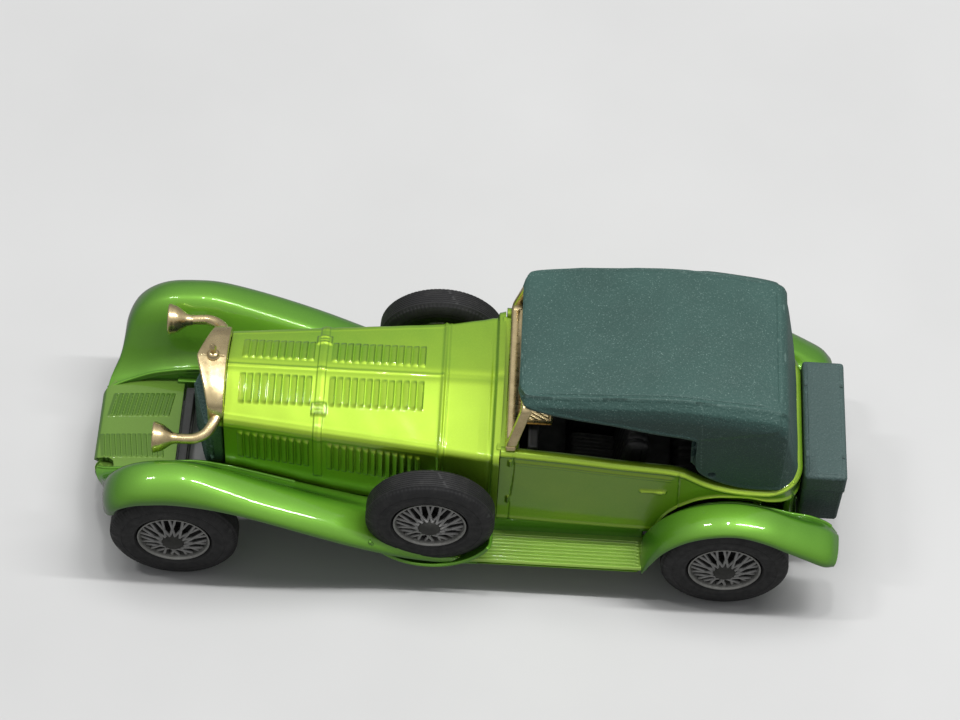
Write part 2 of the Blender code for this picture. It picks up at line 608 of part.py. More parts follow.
def luggage_trunk(mat):
    """Trunk behind the body, a box under a lid that stands a little proud of it."""
    def ring(z, front, rear, half):
        return [(front, -half, z), (rear, -half, z), (rear, half, z), (front, half, z)]
    rings = [ring(BODY_BASE_Z, 46.1, 51.6, 9.8), ring(17.9, 46.0, 51.65, 9.7), ring(18.1, 45.95, TAIL_X, 9.9),
             ring(21.1, 45.95, TAIL_X, 9.9)]
    obj = place(loft_bm(rings), "luggage_trunk", mat)
    bevel(obj, 0.45, 2, 60)
    return obj


def base_plate(mat):
    """Underside plate with countersunk rivet holes, a flat lower face and a bar over the front axle."""
    outline = [(-34.0, -7.0), (-30.0, -8.2), (-8.0, -10.4), (24.0, -10.4), (32.0, -7.6), (49.0, -7.6),
               (49.0, 7.6), (32.0, 7.6), (24.0, 10.4), (-8.0, 10.4), (-30.0, 8.2), (-34.0, 7.0)]
    obj = place(prism_bm(outline, 2, BASE_Z, BASE_Z + BASE_T), "base_plate", mat)
    for x in RIVET_X:
        join(obj, cylinder_bm(2.6, 2, BASE_Z + 0.5, FLOOR_Z - 0.3, (x, 0.0), 24), "base_boss_tool")
        cut(obj, cylinder_bm(RIVET_R + 0.15, 2, 4.0, 11.0, (x, 0.0), 20), "rivet_bore_tool")
        cut(obj, cylinder_bm(1.9, 2, 4.0, BASE_Z + 0.65, (x, 0.0), 24), "rivet_seat_tool")
    for side in (-1, 1):
        low, high = sorted((side * 6.0, side * 6.9))
        join(obj, box_bm((-38.2, low, BASE_Z), (-33.5, high, 9.5)), "cheek_tool")
        join(obj, box_bm((-39.5, low, 9.95), (-36.3, high, 10.6)), "cheek_arm_tool")
        join(obj, box_bm((-38.2, low, 9.0), (-36.3, high, 10.3)), "cheek_neck_tool")
    join(obj, box_bm((-40.0, -6.9, 9.95), (-38.8, 6.9, 10.6)), "crossbar_tool")
    return obj


def rivet(name, x, mat):
    """A headed rivet, turned on Z, whose head sits inside the base plate."""
    steps = 20
    head = BASE_Z + 0.1
    profile = [(0.6, head), (1.5, head + 0.05), (1.7, head + 0.25), (1.7, head + 0.45),
               (RIVET_R, head + 0.45),
               (RIVET_R, 15.6), (0.5, 16.0)]
    rings = [[(x + r * math.cos(a), r * math.sin(a), z)
              for a in (2 * math.pi * k / steps for k in range(steps))]
             for r, z in profile]
    return place(loft_bm(rings), name, mat)


# ---------------------------------------------------------------- wheels

def tyre_profile():
    half = TYRE_WIDTH / 2
    side = [(TYRE_BORE_R, half - 0.9), (5.45, half - 0.05), (7.2, half - 0.05), (8.25, half - 0.45),
            (TYRE_R, half - 1.1)]
    return side + [(r, -h) for r, h in reversed(side)]


def rim_profile(bore_depth):
    """Wire wheel as a solid of revolution: hub with a blind bore, recessed web, seat and flange."""
    half = TYRE_WIDTH / 2
    hub_tip = half + 0.75
    return [(0.0, hub_tip), (0.9, hub_tip), (1.9, half - 0.9), (3.9, half - 1.4), (4.35, half - 0.25),
            (RIM_FLANGE_R, half - 0.25), (RIM_FLANGE_R, half - 0.45), (RIM_SEAT_R, half - 0.65),
            (RIM_SEAT_R, -half + 0.5), (4.1, -half + 0.5), (3.9, half - 2.2), (1.9, half - 2.2),
            (1.9, -half + 0.4), (AXLE_R + 0.1, -half + 0.4), (AXLE_R + 0.1, bore_depth), (0.0, bore_depth)]


def wheel(prefix, x, y, z, outward, rim_mat, tyre_mat):
    turned(f"{prefix}_rim", rim_profile(1.3), rim_mat, (x, y, z), outward, 24)
    turned(f"{prefix}_tyre", tyre_profile(), tyre_mat, (x, y, z), outward, 28)


def axle(name, x, mat):
    reach = WHEEL_Y + 1.1
    return place(cylinder_bm(AXLE_R, 1, -reach, reach, (x, TYRE_R), 24), name, mat)


# ---------------------------------------------------------------- assembly

clear_scene()
PARTS = new_collection("diecast_tourer")
TOOLS = new_collection("shaping_tools")

LIME = material("lime_paint", (0.22, 0.50, 0.02), 0.25, 0.3)
GREEN_PLASTIC = material("dark_green_plastic", (0.035, 0.11, 0.09), 0.6)
GOLD = material("gold_plating", (0.62, 0.50, 0.27), 0.3, 1.0)
BLACK_PLASTIC = material("black_plastic", (0.012, 0.012, 0.013), 0.5)
TYRE_BLACK = material("tyre_black", (0.02, 0.02, 0.022), 0.65)
SILVER = material("silver_plastic", (0.55, 0.54, 0.52), 0.35, 0.7)
STEEL = material("steel", (0.5, 0.5, 0.5), 0.35, 1.0)

chassis_casting(LIME)
body_casting(LIME)
base_plate(BLACK_PLASTIC)
radiator_shell(GOLD)
radiator_core(GREEN_PLASTIC)
windscreen_frame(GOLD)
soft_top(GREEN_PLASTIC)
interior(BLACK_PLASTIC)
steering_wheel(BLACK_PLASTIC)
luggage_trunk(GREEN_PLASTIC)
axle("front_axle", FRONT_AXLE_X, STEEL)
axle("rear_axle", REAR_AXLE_X, STEEL)
for side_name, side in (("left", -1), ("right", 1)):
    wheel(f"front_{side_name}", FRONT_AXLE_X, side * WHEEL_Y, TYRE_R, side, SILVER, TYRE_BLACK)
    wheel(f"rear_{side_name}", REAR_AXLE_X, side * WHEEL_Y, TYRE_R, side, SILVER, TYRE_BLACK)
    wheel(f"spare_{side_name}", SPARE_X, side * SPARE_Y, SPARE_Z, side, SILVER, TYRE_BLACK)
for label, rivet_x in zip(("front", "rear"), RIVET_X):
    rivet(f"rivet_{label}", rivet_x, STEEL)
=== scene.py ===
"""Visual model of the diecast tourer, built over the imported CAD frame. Lengths are in mm until times MM."""
import math

import bmesh
import bpy
import numpy as np
from mathutils import Matrix, Vector


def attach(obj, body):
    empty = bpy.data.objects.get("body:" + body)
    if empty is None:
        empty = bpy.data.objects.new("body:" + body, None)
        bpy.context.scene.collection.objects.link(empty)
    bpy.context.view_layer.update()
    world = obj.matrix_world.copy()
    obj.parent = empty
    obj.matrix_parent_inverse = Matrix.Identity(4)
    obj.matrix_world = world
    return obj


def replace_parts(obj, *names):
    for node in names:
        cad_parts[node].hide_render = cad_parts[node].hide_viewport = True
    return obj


MM = 0.001
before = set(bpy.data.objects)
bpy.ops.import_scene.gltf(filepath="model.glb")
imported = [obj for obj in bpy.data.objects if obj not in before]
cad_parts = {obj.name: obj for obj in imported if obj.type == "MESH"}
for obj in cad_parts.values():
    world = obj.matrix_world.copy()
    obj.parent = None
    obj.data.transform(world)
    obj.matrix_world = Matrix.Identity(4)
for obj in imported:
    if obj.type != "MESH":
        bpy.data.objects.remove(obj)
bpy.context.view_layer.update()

# Driving dimensions, the same as the CAD's: x runs to the tail, y to the right-hand side, z up
FRONT_AXLE_X, REAR_AXLE_X = -39.4, 36.2
TYRE_R, TYRE_WIDTH = 8.8, 4.2
WHEEL_Y = 15.85
SPARE_X, SPARE_Y, SPARE_Z = -4.4, 15.4, 15.1
RIM_FLANGE_R = 5.0
SHELL = 0.9
FLOOR_Z, FLOOR_T = 9.9, 0.6
BODY_BASE_Z = 10.8
BOARD_TOP_Z, BOARD_Y = 7.2, 17.2
SILL_Y = 12.0
HOOD_FRONT_X, COWL_BAND_X, COWL_X, CABIN_REAR_X = -33.0, -3.6, 4.6, 45.6
BASE_Z = 6.3
RIVET_X = (-22.0, 42.4)
SIDES = (("left", -1), ("right", 1))


# ---------------------------------------------------------------- interpolation

def smooth(x, table):
    """Cubic interpolation in a table of (x, value) pairs that never overshoots it."""
    xs, ys = np.array(table, float).T
    step = np.diff(xs)
    slope = np.diff(ys) / step
    product, total = slope[1:] * slope[:-1], slope[1:] + slope[:-1]
    inner = np.where(product > 0, 2 * slope[1:] * slope[:-1] / np.where(total == 0, 1, total), 0)
    tangent = np.concatenate(([slope[0]], inner, [slope[-1]]))
    x = np.clip(np.asarray(x, float), xs[0], xs[-1])
    k = np.clip(np.searchsorted(xs, x, side="right") - 1, 0, len(xs) - 2)
    t = (x - xs[k]) / step[k]
    return ((1 + 2 * t) * (1 - t) ** 2 * ys[k] + t * (1 - t) ** 2 * step[k] * tangent[k]
            + t * t * (3 - 2 * t) * ys[k + 1] + t * t * (t - 1) * step[k] * tangent[k + 1])


def spline(rows, t):
    """Catmull-Rom through equally spaced rows of numbers, at parameters t counted in rows."""
    rows = np.array(rows, float)
    padded = np.vstack((2 * rows[0] - rows[1], rows, 2 * rows[-1] - rows[-2]))
    t = np.asarray(t, float)
    k = np.clip(t.astype(int), 0, len(rows) - 2)
    f = (t - k)[:, None]
    a, b, c, d = (padded[k + i] for i in range(4))
    square, cube = 2 * a - 5 * b + 4 * c - d, 3 * b - a - 3 * c + d
    return 0.5 * (2 * b + (c - a) * f + square * f ** 2 + cube * f ** 3)


def step_up(x, edge, width):
    """0 below edge, 1 above it, with a soft change over width."""
    t = np.clip((x - edge) / width + 0.5, 0, 1)
    return t * t * (3 - 2 * t)


def band(x, low, high, width):
    """1 between low and high, 0 outside, with soft edges."""
    return step_up(x, low, width) * (1 - step_up(x, high, width))


def ridge(x, centre, width):
    """A rounded bead of full height at centre."""
    return np.exp(-((x - centre) / width) ** 2)


# ---------------------------------------------------------------- mesh builders

def obj_from(name, verts, faces, mat, body="car", smooth_deg=None):
    mesh = bpy.data.meshes.new(name)
    mesh.from_pydata([tuple(v) for v in np.asarray(verts, float) * MM], [], faces)
    mesh.materials.append(mat)
    mesh.shade_smooth()
    if smooth_deg:
        mesh.set_sharp_from_angle(angle=math.radians(smooth_deg))
    obj = bpy.data.objects.new(name, mesh)
    bpy.context.scene.collection.objects.link(obj)
    if body:
        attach(obj, body)
    return obj


def grid_faces(rows, cols, wrap_rows=False, wrap_cols=False, flip=False, start=0):
    faces = []
    for i in range(rows if wrap_rows else rows - 1):
        a, b = i * cols + start, (i + 1) % rows * cols + start
        for j in range(cols if wrap_cols else cols - 1):
            k = (j + 1) % cols
            quad = (a + j, a + k, b + k, b + j)
            faces.append(quad[::-1] if flip else quad)
    return faces


def grid_obj(name, points, mat, body="car", flip=False, wrap_rows=False, wrap_cols=False, smooth_deg=None):
    """A surface through an array of points with shape (rows, columns, 3)."""
    rows, cols = points.shape[:2]
    faces = grid_faces(rows, cols, wrap_rows, wrap_cols, flip)
    return obj_from(name, points.reshape(-1, 3), faces, mat, body, smooth_deg)


def normals(points):
    """Unit normals of a grid of points: along the rows crossed with along the columns."""
    along = np.gradient(points, axis=0)
    across = np.gradient(points, axis=1)
    cross = np.cross(along, across)
    return cross / np.maximum(np.linalg.norm(cross, axis=2, keepdims=True), 1e-9)


def thicken(obj, thickness, outside, edge=0.2):
    """Gives a surface thickness behind the face that looks towards outside; edge rounds its rim."""
    total = Vector((0, 0, 0))
    for polygon in obj.data.polygons:
        total += polygon.normal * polygon.area
    if total.dot(Vector(outside)) < 0:
        obj.data.flip_normals()
    solid = obj.modifiers.new("Solidify", "SOLIDIFY")
    solid.thickness = thickness * MM
    solid.offset = -1.0
    solid.use_quality_normals = True
    if edge:
        round_edges(obj, edge, 55)
    return obj


def round_edges(obj, width, angle_deg=40):
    bevel = obj.modifiers.new("Bevel", "BEVEL")
    bevel.width = width * MM
    bevel.segments = 3
    bevel.limit_method = "ANGLE"
    bevel.angle_limit = math.radians(angle_deg)
    bevel.harden_normals = False
    return obj


def prism(name, outline, axis, low, high, mat, edge=0.2, body="car"):
    """A closed outline pushed along one axis, with rounded edges."""
    def ring(along):
        ring_points = []
        for pair in outline:
            point = list(pair)
            point.insert(axis, along)
            ring_points.append(point)
        return ring_points
    count = len(outline)
    faces = [(i, (i + 1) % count, count + (i + 1) % count, count + i) for i in range(count)]
    faces += [tuple(range(count))[::-1], tuple(range(count, 2 * count))]
    obj = obj_from(name, ring(low) + ring(high), faces, mat, None, 35)
    fix_normals(obj)
    if edge:
        round_edges(obj, edge)
    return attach(obj, body)


def block(name, low, high, mat, edge=0.2, body="car"):
    outline = [(low[0], low[1]), (high[0], low[1]), (high[0], high[1]), (low[0], high[1])]
    return prism(name, outline, 2, low[2], high[2], mat, edge, body)


def edit_mesh(obj, change):
    """Runs change on the object's mesh as a bmesh."""
    bm = bmesh.new()
    bm.from_mesh(obj.data)
    change(bm)
    bm.to_mesh(obj.data)
    bm.free()


def drop_loose_points(bm):
    bmesh.ops.delete(bm, geom=[v for v in bm.verts if not v.link_faces], context="VERTS")


def fix_normals(obj):
    edit_mesh(obj, lambda bm: bmesh.ops.recalc_face_normals(bm, faces=bm.faces))


def replace_all(pieces, node):
    """Hides one CAD node, which the pieces stand in for."""
    for piece in pieces:
        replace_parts(piece, node)


def unit(vectors):
    """Rows scaled to length 1."""
    return vectors / np.linalg.norm(vectors, axis=1, keepdims=True)


def raise_relief(points, relief, probe):
    """Moves a grid of points outwards by relief; probe is a point on top, whose normal tells the way out."""
    normal = normals(points)
    return points + normal * relief[..., None] * np.sign(normal[probe][2])


def disc_ring(centre, radius, steps, axis=1):
    """Points of a circle in the plane across an axis."""
    a = np.linspace(0, 2 * np.pi, steps, endpoint=False)
    ring = np.zeros((steps, 3))
    first, second = [i for i in range(3) if i != axis]
    ring[:, first] = np.cos(a) * radius
    ring[:, second] = np.sin(a) * radius
    return ring + np.array(centre)


def lathe(name, profile, centre, axis, direction, mat, steps=96, body="car", wobble=None, smooth_deg=40):
    """Turns (radius, height) points about an axis; height runs in the given direction from the centre."""
    rings = []
    for r, h in profile:
        middle = np.array(centre, float)
        middle[axis] += direction * h
        rings.append(disc_ring(middle, max(r, 0.001), steps, axis))
    points = np.array(rings)
    if wobble is not None:
        points = wobble(points)
    obj = grid_obj(name, points, mat, None, wrap_cols=True, smooth_deg=smooth_deg)
    fix_normals(obj)
    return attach(obj, body)


def tube_points(path, radii, steps):
    """Rings of points round a path, with their shared start direction kept upright."""
    path = np.array(path, float)
    tangent = unit(np.gradient(path, axis=0))
    up = np.array((0.0, 0.0, 1.0)) if abs(tangent[0][2]) < 0.9 else np.array((1.0, 0.0, 0.0))
    a = np.linspace(0, 2 * np.pi, steps, endpoint=False)
    rings = []
    for point, along, radius in zip(path, tangent, radii):
        across = np.cross(along, up)
        across /= np.linalg.norm(across)
        above = np.cross(across, along)
        up = above
        rings.append(point + radius * (np.cos(a)[:, None] * across + np.sin(a)[:, None] * above))
    return np.array(rings)


def tube(name, path, radius, mat, steps=12, body="car"):
    """A round bar along a path, with its ends drawn in to a point."""
    path = np.array(path, float)
    radii = np.full(len(path), radius) if np.isscalar(radius) else np.array(radius, float)
    rings = tube_points(path, radii, steps)
    first, last = (ring.mean(0) + (ring - ring.mean(0)) * 0.01 for ring in (rings[0], rings[-1]))
    points = np.concatenate(([first], rings, [last]))
    obj = grid_obj(name, points, mat, None, wrap_cols=True, smooth_deg=50)
    fix_normals(obj)
    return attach(obj, body)


def bezier(p0, p1, p2, p3, t):
    t = t[:, None, None]
    return p0 * (1 - t) ** 3 + p1 * 3 * t * (1 - t) ** 2 + p2 * 3 * t * t * (1 - t) + p3 * t ** 3


# ---------------------------------------------------------------- materials

class Nodes:
    """Short calls for building a material's node tree."""

    def __init__(self, name):
        self.material = bpy.data.materials.new(name)
        self.material.use_nodes = True
        self.tree = self.material.node_tree
        self.shader = self.tree.nodes["Principled BSDF"]
        self.where = self.add("ShaderNodeTexCoord").outputs["Object"]

    def add(self, kind, **settings):
        node = self.tree.nodes.new(kind)
        for key, value in settings.items():
            setattr(node, key, value)
        return node

    def link(self, source, target):
        self.tree.links.new(source, target)

    def feed(self, value, socket):
        """Sets a socket to a colour or number, or links another socket to it."""
        if isinstance(value, tuple):
            socket.default_value = (*value, 1)
        elif isinstance(value, (int, float)):
            socket.default_value = value
        else:
            self.link(value, socket)

    def noise(self, scale, detail=3.0, roughness=0.5):
        """Noise whose scale is in features per millimetre."""
        node = self.add("ShaderNodeTexNoise")
        node.inputs["Scale"].default_value = scale / MM
        node.inputs["Detail"].default_value = detail
        node.inputs["Roughness"].default_value = roughness
        self.link(self.where, node.inputs["Vector"])
        return node.outputs["Fac"]

    def cells(self, scale):
        node = self.add("ShaderNodeTexVoronoi")
        node.inputs["Scale"].default_value = scale / MM
        self.link(self.where, node.inputs["Vector"])
        return node

    def ramp(self, source, *stops):
        """Maps a value to another by (position, value) stops."""
        node = self.add("ShaderNodeValToRGB")
        elements = node.color_ramp.elements
        while len(elements) < len(stops):
            elements.new(0.5)
        for element, (position, value) in zip(elements, stops):
            element.position = position
            element.color = (*value, 1) if isinstance(value, tuple) else (value, value, value, 1)
        self.link(source, node.inputs["Fac"])
        return node.outputs["Color"]

    def mix(self, factor, first, second):
        """Blends two colours."""
        node = self.add("ShaderNodeMix", data_type="RGBA", blend_type="MIX")
        for value, index in ((factor, 0), (first, 6), (second, 7)):
            self.feed(value, node.inputs[index])
        return node.outputs[2]

    def math(self, operation, first, second=0.0):
        node = self.add("ShaderNodeMath", operation=operation)
        self.feed(first, node.inputs[0])
        self.feed(second, node.inputs[1])
        return node.outputs[0]

    def facing(self, blend=0.5):
        node = self.add("ShaderNodeLayerWeight")
        node.inputs["Blend"].default_value = blend
        return node.outputs["Facing"]

    def edge_wear(self, low, high):
        """Bright on raised edges, dark elsewhere."""
        node = self.add("ShaderNodeNewGeometry")
        return self.ramp(node.outputs["Pointiness"], (low, 0.0), (high, 1.0))

    def crevice(self, low, high):
        """Bright in hollow edges, dark elsewhere."""
        node = self.add("ShaderNodeNewGeometry")
        return self.ramp(node.outputs["Pointiness"], (low, 1.0), (high, 0.0))

    def bump(self, height, distance, strength=1.0, under=None):
        """Adds a bump whose full height is given in millimetres, and returns its normal."""
        node = self.add("ShaderNodeBump")
        node.inputs["Distance"].default_value = distance * MM
        node.inputs["Strength"].default_value = strength
        self.link(height, node.inputs["Height"])
        if under is not None:
            self.link(under, node.inputs["Normal"])
        return node.outputs["Normal"]

    def set(self, **inputs):
        """Feeds the shader's inputs by name and returns the material."""
        for key, value in inputs.items():
            self.feed(value, self.shader.inputs[key.replace("_", " ")])
        return self.material


def lime_paint(name, face_on, deep, edge):
    """Green lacquer over bright metal: flakes, a deeper tone at grazing angles (part flop, part painted
    shade), painted shade in crevices, a thick clear coat.
    """
    n = Nodes(name)
    cloud = n.noise(0.12, 2.0)
    # Darker towards grazing angles: partly the paint's metallic flop, partly painted shade on faces turned
    # away from the camera.
    tone = n.ramp(n.facing(0.45), (0.04, face_on), (0.45, deep), (0.85, edge))
    # Painted shade: the colour is darkened in crevices and hollows.
    crevice_shaded = n.mix(n.crevice(0.42, 0.495), tone, tuple(c * 0.3 for c in deep))
    varied = n.mix(n.ramp(cloud, (0.35, 0.0), (0.7, 0.3)), crevice_shaded, tuple(c * 0.8 for c in face_on))
    flake = n.cells(11.0)
    sparkle = n.ramp(flake.outputs["Color"], (0.55, 0.0), (0.95, 0.6))
    glint = tuple(min(1.0, c * 1.5 + 0.02) for c in face_on)
    colour = n.mix(n.math("MULTIPLY", sparkle, 0.16), varied, glint)
    flat = n.bump(flake.outputs["Color"], 0.003, 0.3)
    ripple = n.bump(n.noise(0.9, 2.0), 0.008, 0.4)
    rough = n.ramp(n.noise(0.4, 4.0), (0.3, 0.36), (0.7, 0.44))
    return n.set(Base_Color=colour, Metallic=0.35, Roughness=rough, Normal=flat, Specular_IOR_Level=0.2,
                 Coat_Weight=1.0, Coat_Roughness=0.07, Coat_IOR=1.5, Coat_Normal=ripple)


def grained_plastic(name, base, light, grain=1.0, roughness=0.55):
    """Moulded plastic with a leather grain and fine pale specks that catch the light."""
    n = Nodes(name)
    grains = n.cells(2.6)
    fine = n.noise(5.5, 5.0, 0.6)
    patch = n.noise(0.09, 3.0)
    tone = n.mix(n.ramp(patch, (0.35, 0.0), (0.7, 1.0)), base, tuple(c * 1.25 for c in base))
    speck = n.ramp(n.noise(4.6, 2.0, 0.9), (0.60, 0.0), (0.68, 1.0))
    specked = n.mix(n.math("MULTIPLY", speck, 0.7), tone, light)
    worn = n.mix(n.math("MULTIPLY", n.edge_wear(0.515, 0.58), 0.35), specked, light)
    height = n.mix(0.5, grains.outputs["Distance"], fine)
    normal = n.bump(height, 0.085 * grain, 1.0)
    rough = n.ramp(fine, (0.3, roughness - 0.12), (0.7, roughness + 0.12))
    return n.set(Base_Color=worn, Roughness=rough, Normal=normal, Specular_IOR_Level=0.5)


def plated(name, base, dull, roughness=0.22):
    """Vacuum plating over plastic: bright, slightly uneven, with painted shade darkening the hollows."""
    n = Nodes(name)
    haze = n.noise(0.5, 5.0, 0.6)
    tone = n.mix(n.ramp(haze, (0.35, 0.0), (0.75, 1.0)), base, dull)
    # Painted shade: the plating is darkened in the hollows.
    hollows_shaded = n.mix(n.crevice(0.32, 0.45), tone, tuple(c * 0.3 for c in dull))
    rough = n.ramp(n.noise(1.3, 4.0), (0.3, roughness), (0.75, roughness + 0.16))
    dents = n.bump(n.noise(0.55, 2.0), 0.06, 0.6)
    normal = n.bump(n.noise(3.0, 3.0), 0.004, 0.3, dents)
    return n.set(Base_Color=hollows_shaded, Metallic=1.0, Roughness=rough, Normal=normal)


def dark_plastic(name, base, roughness=0.45, dusty=0.25, grain=3.0, height=0.02):
    """Black plastic or tyre compound with dust and fine scuffs."""
    n = Nodes(name)
    dust = n.ramp(n.noise(0.6, 6.0, 0.65), (0.5, 0.0), (0.8, dusty))
    tone = n.mix(dust, base, (0.16, 0.155, 0.145))
    worn = n.mix(n.math("MULTIPLY", n.edge_wear(0.51, 0.60), 0.25), tone, (0.14, 0.14, 0.14))
    rough = n.ramp(n.noise(1.1, 4.0), (0.3, roughness - 0.1), (0.7, roughness + 0.15))
    normal = n.bump(n.noise(grain, 4.0), height, 0.7)
    return n.set(Base_Color=worn, Roughness=rough, Normal=normal)


def bright_metal(name, base, roughness, metallic=1.0, streak=(1.0, 1.0, 1.0)):
    """Steel or metallised plastic with fine streaks and painted shade darkening the corners."""
    n = Nodes(name)
    stretch = n.add("ShaderNodeMapping")
    stretch.inputs["Scale"].default_value = streak
    n.link(n.where, stretch.inputs["Vector"])
    streaks = n.add("ShaderNodeTexNoise")
    streaks.inputs["Scale"].default_value = 2.0 / MM
    streaks.inputs["Detail"].default_value = 4.0
    n.link(stretch.outputs["Vector"], streaks.inputs["Vector"])
    tone = n.mix(n.ramp(streaks.outputs["Fac"], (0.3, 0.0), (0.7, 1.0)), base, tuple(c * 0.75 for c in base))
    # Painted shade: near black in the corners and hollows.
    corners_shaded = n.mix(n.crevice(0.38, 0.49), tone, (0.05, 0.05, 0.045))
    rough = n.ramp(n.noise(1.5, 3.0), (0.3, roughness), (0.7, roughness + 0.15))
    normal = n.bump(streaks.outputs["Fac"], 0.01, 0.5)
    return n.set(Base_Color=corners_shaded, Metallic=metallic, Roughness=rough, Normal=normal)


BODY_PAINT = lime_paint("lime_body", (0.46, 0.70, 0.04), (0.20, 0.42, 0.02), (0.05, 0.16, 0.01))
# The chassis lime is a darker copy of the body lime: partly a separate paint batch, partly painted shade.
CHASSIS_SHADED_PAINT = lime_paint("lime_chassis_shaded", (0.17, 0.42, 0.032), (0.075, 0.25, 0.015), (0.02, 0.10, 0.008))
# The boards' lime is a lighter copy of the body lime: painted light that lifts the boards out of shade.
BOARD_LIT_PAINT = lime_paint("lime_boards_lit", (0.36, 0.58, 0.09), (0.20, 0.42, 0.04), (0.05, 0.16, 0.015))
# The apron's lime is a darker, greyer copy of the chassis lime: painted shade.
APRON_SHADED_PAINT = lime_paint("lime_apron_shaded", (0.19, 0.34, 0.05), (0.08, 0.20, 0.022), (0.03, 0.10, 0.012))
GREEN = grained_plastic("grained_dark_green", (0.030, 0.072, 0.062), (0.20, 0.30, 0.27))
# The trunk's green is the soft top's grained green made much darker: painted shade.
TRUNK_SHADED_GREEN = grained_plastic("trunk_green_shaded", (0.010, 0.024, 0.021), (0.14, 0.22, 0.21), 1.2)
GOLD = plated("champagne_plating", (0.86, 0.70, 0.40), (0.62, 0.49, 0.27))
BLACK = dark_plastic("black_plastic", (0.020, 0.020, 0.021), 0.5, 0.12)
TYRE = dark_plastic("tyre_black", (0.011, 0.011, 0.012), 0.55, 0.12, 2.5, 0.03)
# Near white and barely metallic: the spokes' brightness is a painted reflection of a bright surround.
SILVER_PAINTED_SHINE = bright_metal("silvered_plastic_painted_shine", (0.98, 0.97, 0.95), 0.28, 0.1)
RIM_WALL = bright_metal("rim_wall_silver", (0.42, 0.42, 0.40), 0.35, 0.7)
HUB = bright_metal("hub_grey", (0.065, 0.065, 0.06), 0.45, 0.5)
RIM_SHADOW = bright_metal("rim_shadow_grey", (0.03, 0.03, 0.03), 0.5, 0.3)
STEEL = bright_metal("axle_steel", (0.5, 0.5, 0.5), 0.28, 1.0, (1.0, 0.15, 1.0))


# ---------------------------------------------------------------- body casting: hood and cowl

HOOD_WIDTH = ((HOOD_FRONT_X, 7.8), (COWL_BAND_X, 11.0), (COWL_X, 12.4))
CREASE_Z = ((HOOD_FRONT_X, 23.5), (COWL_BAND_X, 23.6), (1.5, 24.0), (COWL_X, 24.6))
HOOD_TOP_Z, HOOD_MIDDLE_Z = 26.42, 17.0
LOUVRE_GROUPS = ((-31.3, -21.3, 10), (-19.1, -6.1, 13))  # start x, end x, count
STRAP_X, STRAP_HALF = -20.2, 0.6
BUCKLE_Y = 5.8


def louvres(x, across, low, high):
    """Height of the rounded louvre blades, which span low to high across the car or up its side."""
    height = np.zeros_like(x)
    middle, half = (low + high) / 2, (high - low) / 2
    for start, end, count in LOUVRE_GROUPS:
        pitch = (end - start) / count
        u = (((x - start) / pitch) % 1 - 0.5) / 0.44
        v = np.maximum(0, np.abs(across - middle) - (half - 0.4)) / 0.4
        rise = np.clip(0.5 + 0.5 * u, 0, 1) ** 0.8
        ends = (1 - step_up(u, 0.88, 0.24)) * (1 - step_up(-u, 0.98, 0.1))
        blade = rise * ends * np.sqrt(np.clip(1 - v * v, 0, 1))
        height = np.maximum(height, blade * ((x > start) & (x < end)))
    return height


def buckle(x, y):
    """A square frame with a tongue across it."""
    u, v = np.abs(x - STRAP_X), np.abs(y - BUCKLE_Y)
    outer = (1 - step_up(u, 1.02, 0.22)) * (1 - step_up(v, 0.85, 0.22))
    hole = (1 - step_up(u, 0.58, 0.2)) * (1 - step_up(v, 0.45, 0.2))
    tongue = ridge(v, 0.0, 0.16) * (1 - step_up(u, 0.75, 0.2))
    return outer * (1 - 0.8 * hole) + 0.5 * tongue * hole


def hood_relief(x, y, z, on_top):
    """Height of all cast detail on the hood and cowl; on_top is 1 on the top and 0 on the sides."""
    side = 1 - on_top
    half = np.interp(x, *np.array(HOOD_WIDTH).T)
    crease = np.interp(x, *np.array(CREASE_Z).T)
    hood = band(x, HOOD_FRONT_X - 1, COWL_BAND_X, 0.3)
    a = np.abs(y)
    h = 0.40 * louvres(x, a, 1.3, 5.3) * on_top
    h += 0.42 * louvres(x, z, 16.0, 21.9) * side
    h += 0.13 * ridge(a, 0.0, 0.22) * on_top * hood
    h += 0.05 * (ridge(a, half - 0.35, 0.2) + ridge(a, half - 0.95, 0.16)) * on_top * hood
    h += 0.10 * ridge(z, crease - 1.05, 0.16) * side * hood
    strap = 1 - step_up(np.abs(x - STRAP_X), STRAP_HALF, 0.18)
    h += strap * (0.16 + 0.08 * ridge(x, STRAP_X, 0.28)) * step_up(z, 14.0, 0.4)
    h += 0.26 * buckle(x, a) * on_top
    h += 0.26 * ridge(x, COWL_BAND_X, 0.30) + 0.10 * ridge(x, COWL_BAND_X + 0.62, 0.14)
    h += 0.55 * band(x, 3.55, 5.4, 0.45) - 0.10 * ridge(x, 3.15, 0.25)
    return h


def hood_section(x):
    """(y, z, on top) from the bottom of one side over the top to the bottom of the other."""
    half = float(np.interp(x, *np.array(HOOD_WIDTH).T))
    crease = float(np.interp(x, *np.array(CREASE_Z).T))
    drop, corner = HOOD_TOP_Z - crease, 0.8

    def top_z(y):
        t = y / half
        return HOOD_TOP_Z - drop * (0.72 * t + 0.28 * t * t) - 0.22 * np.exp(-(y / 0.7) ** 2)

    side_z = np.linspace(BODY_BASE_Z, crease - corner, 46)
    points = [(half, z, 0.0) for z in side_z]
    for t in np.linspace(0, 1, 9)[1:-1]:
        start, end = Vector((half, crease - corner)), Vector((half - corner, top_z(half - corner)))
        bend = Vector((half, top_z(half)))
        p = start * (1 - t) ** 2 + bend * 2 * t * (1 - t) + end * t * t
        points.append((p.x, p.y, float(t > 0.5)))
    points += [(y, top_z(y), 1.0) for y in np.linspace(half - corner, 0, 52)]
    right = np.array(points)
    left = right[-2::-1] * (-1, 1, 1)
    return np.vstack((right, left))


def drawn_in(section, scale):
    """A copy of a hood section shrunk towards its middle, to close the front end."""
    section = section.copy()
    section[..., 1] *= scale
    section[..., 2] = HOOD_MIDDLE_Z + (section[..., 2] - HOOD_MIDDLE_Z) * scale
    return section


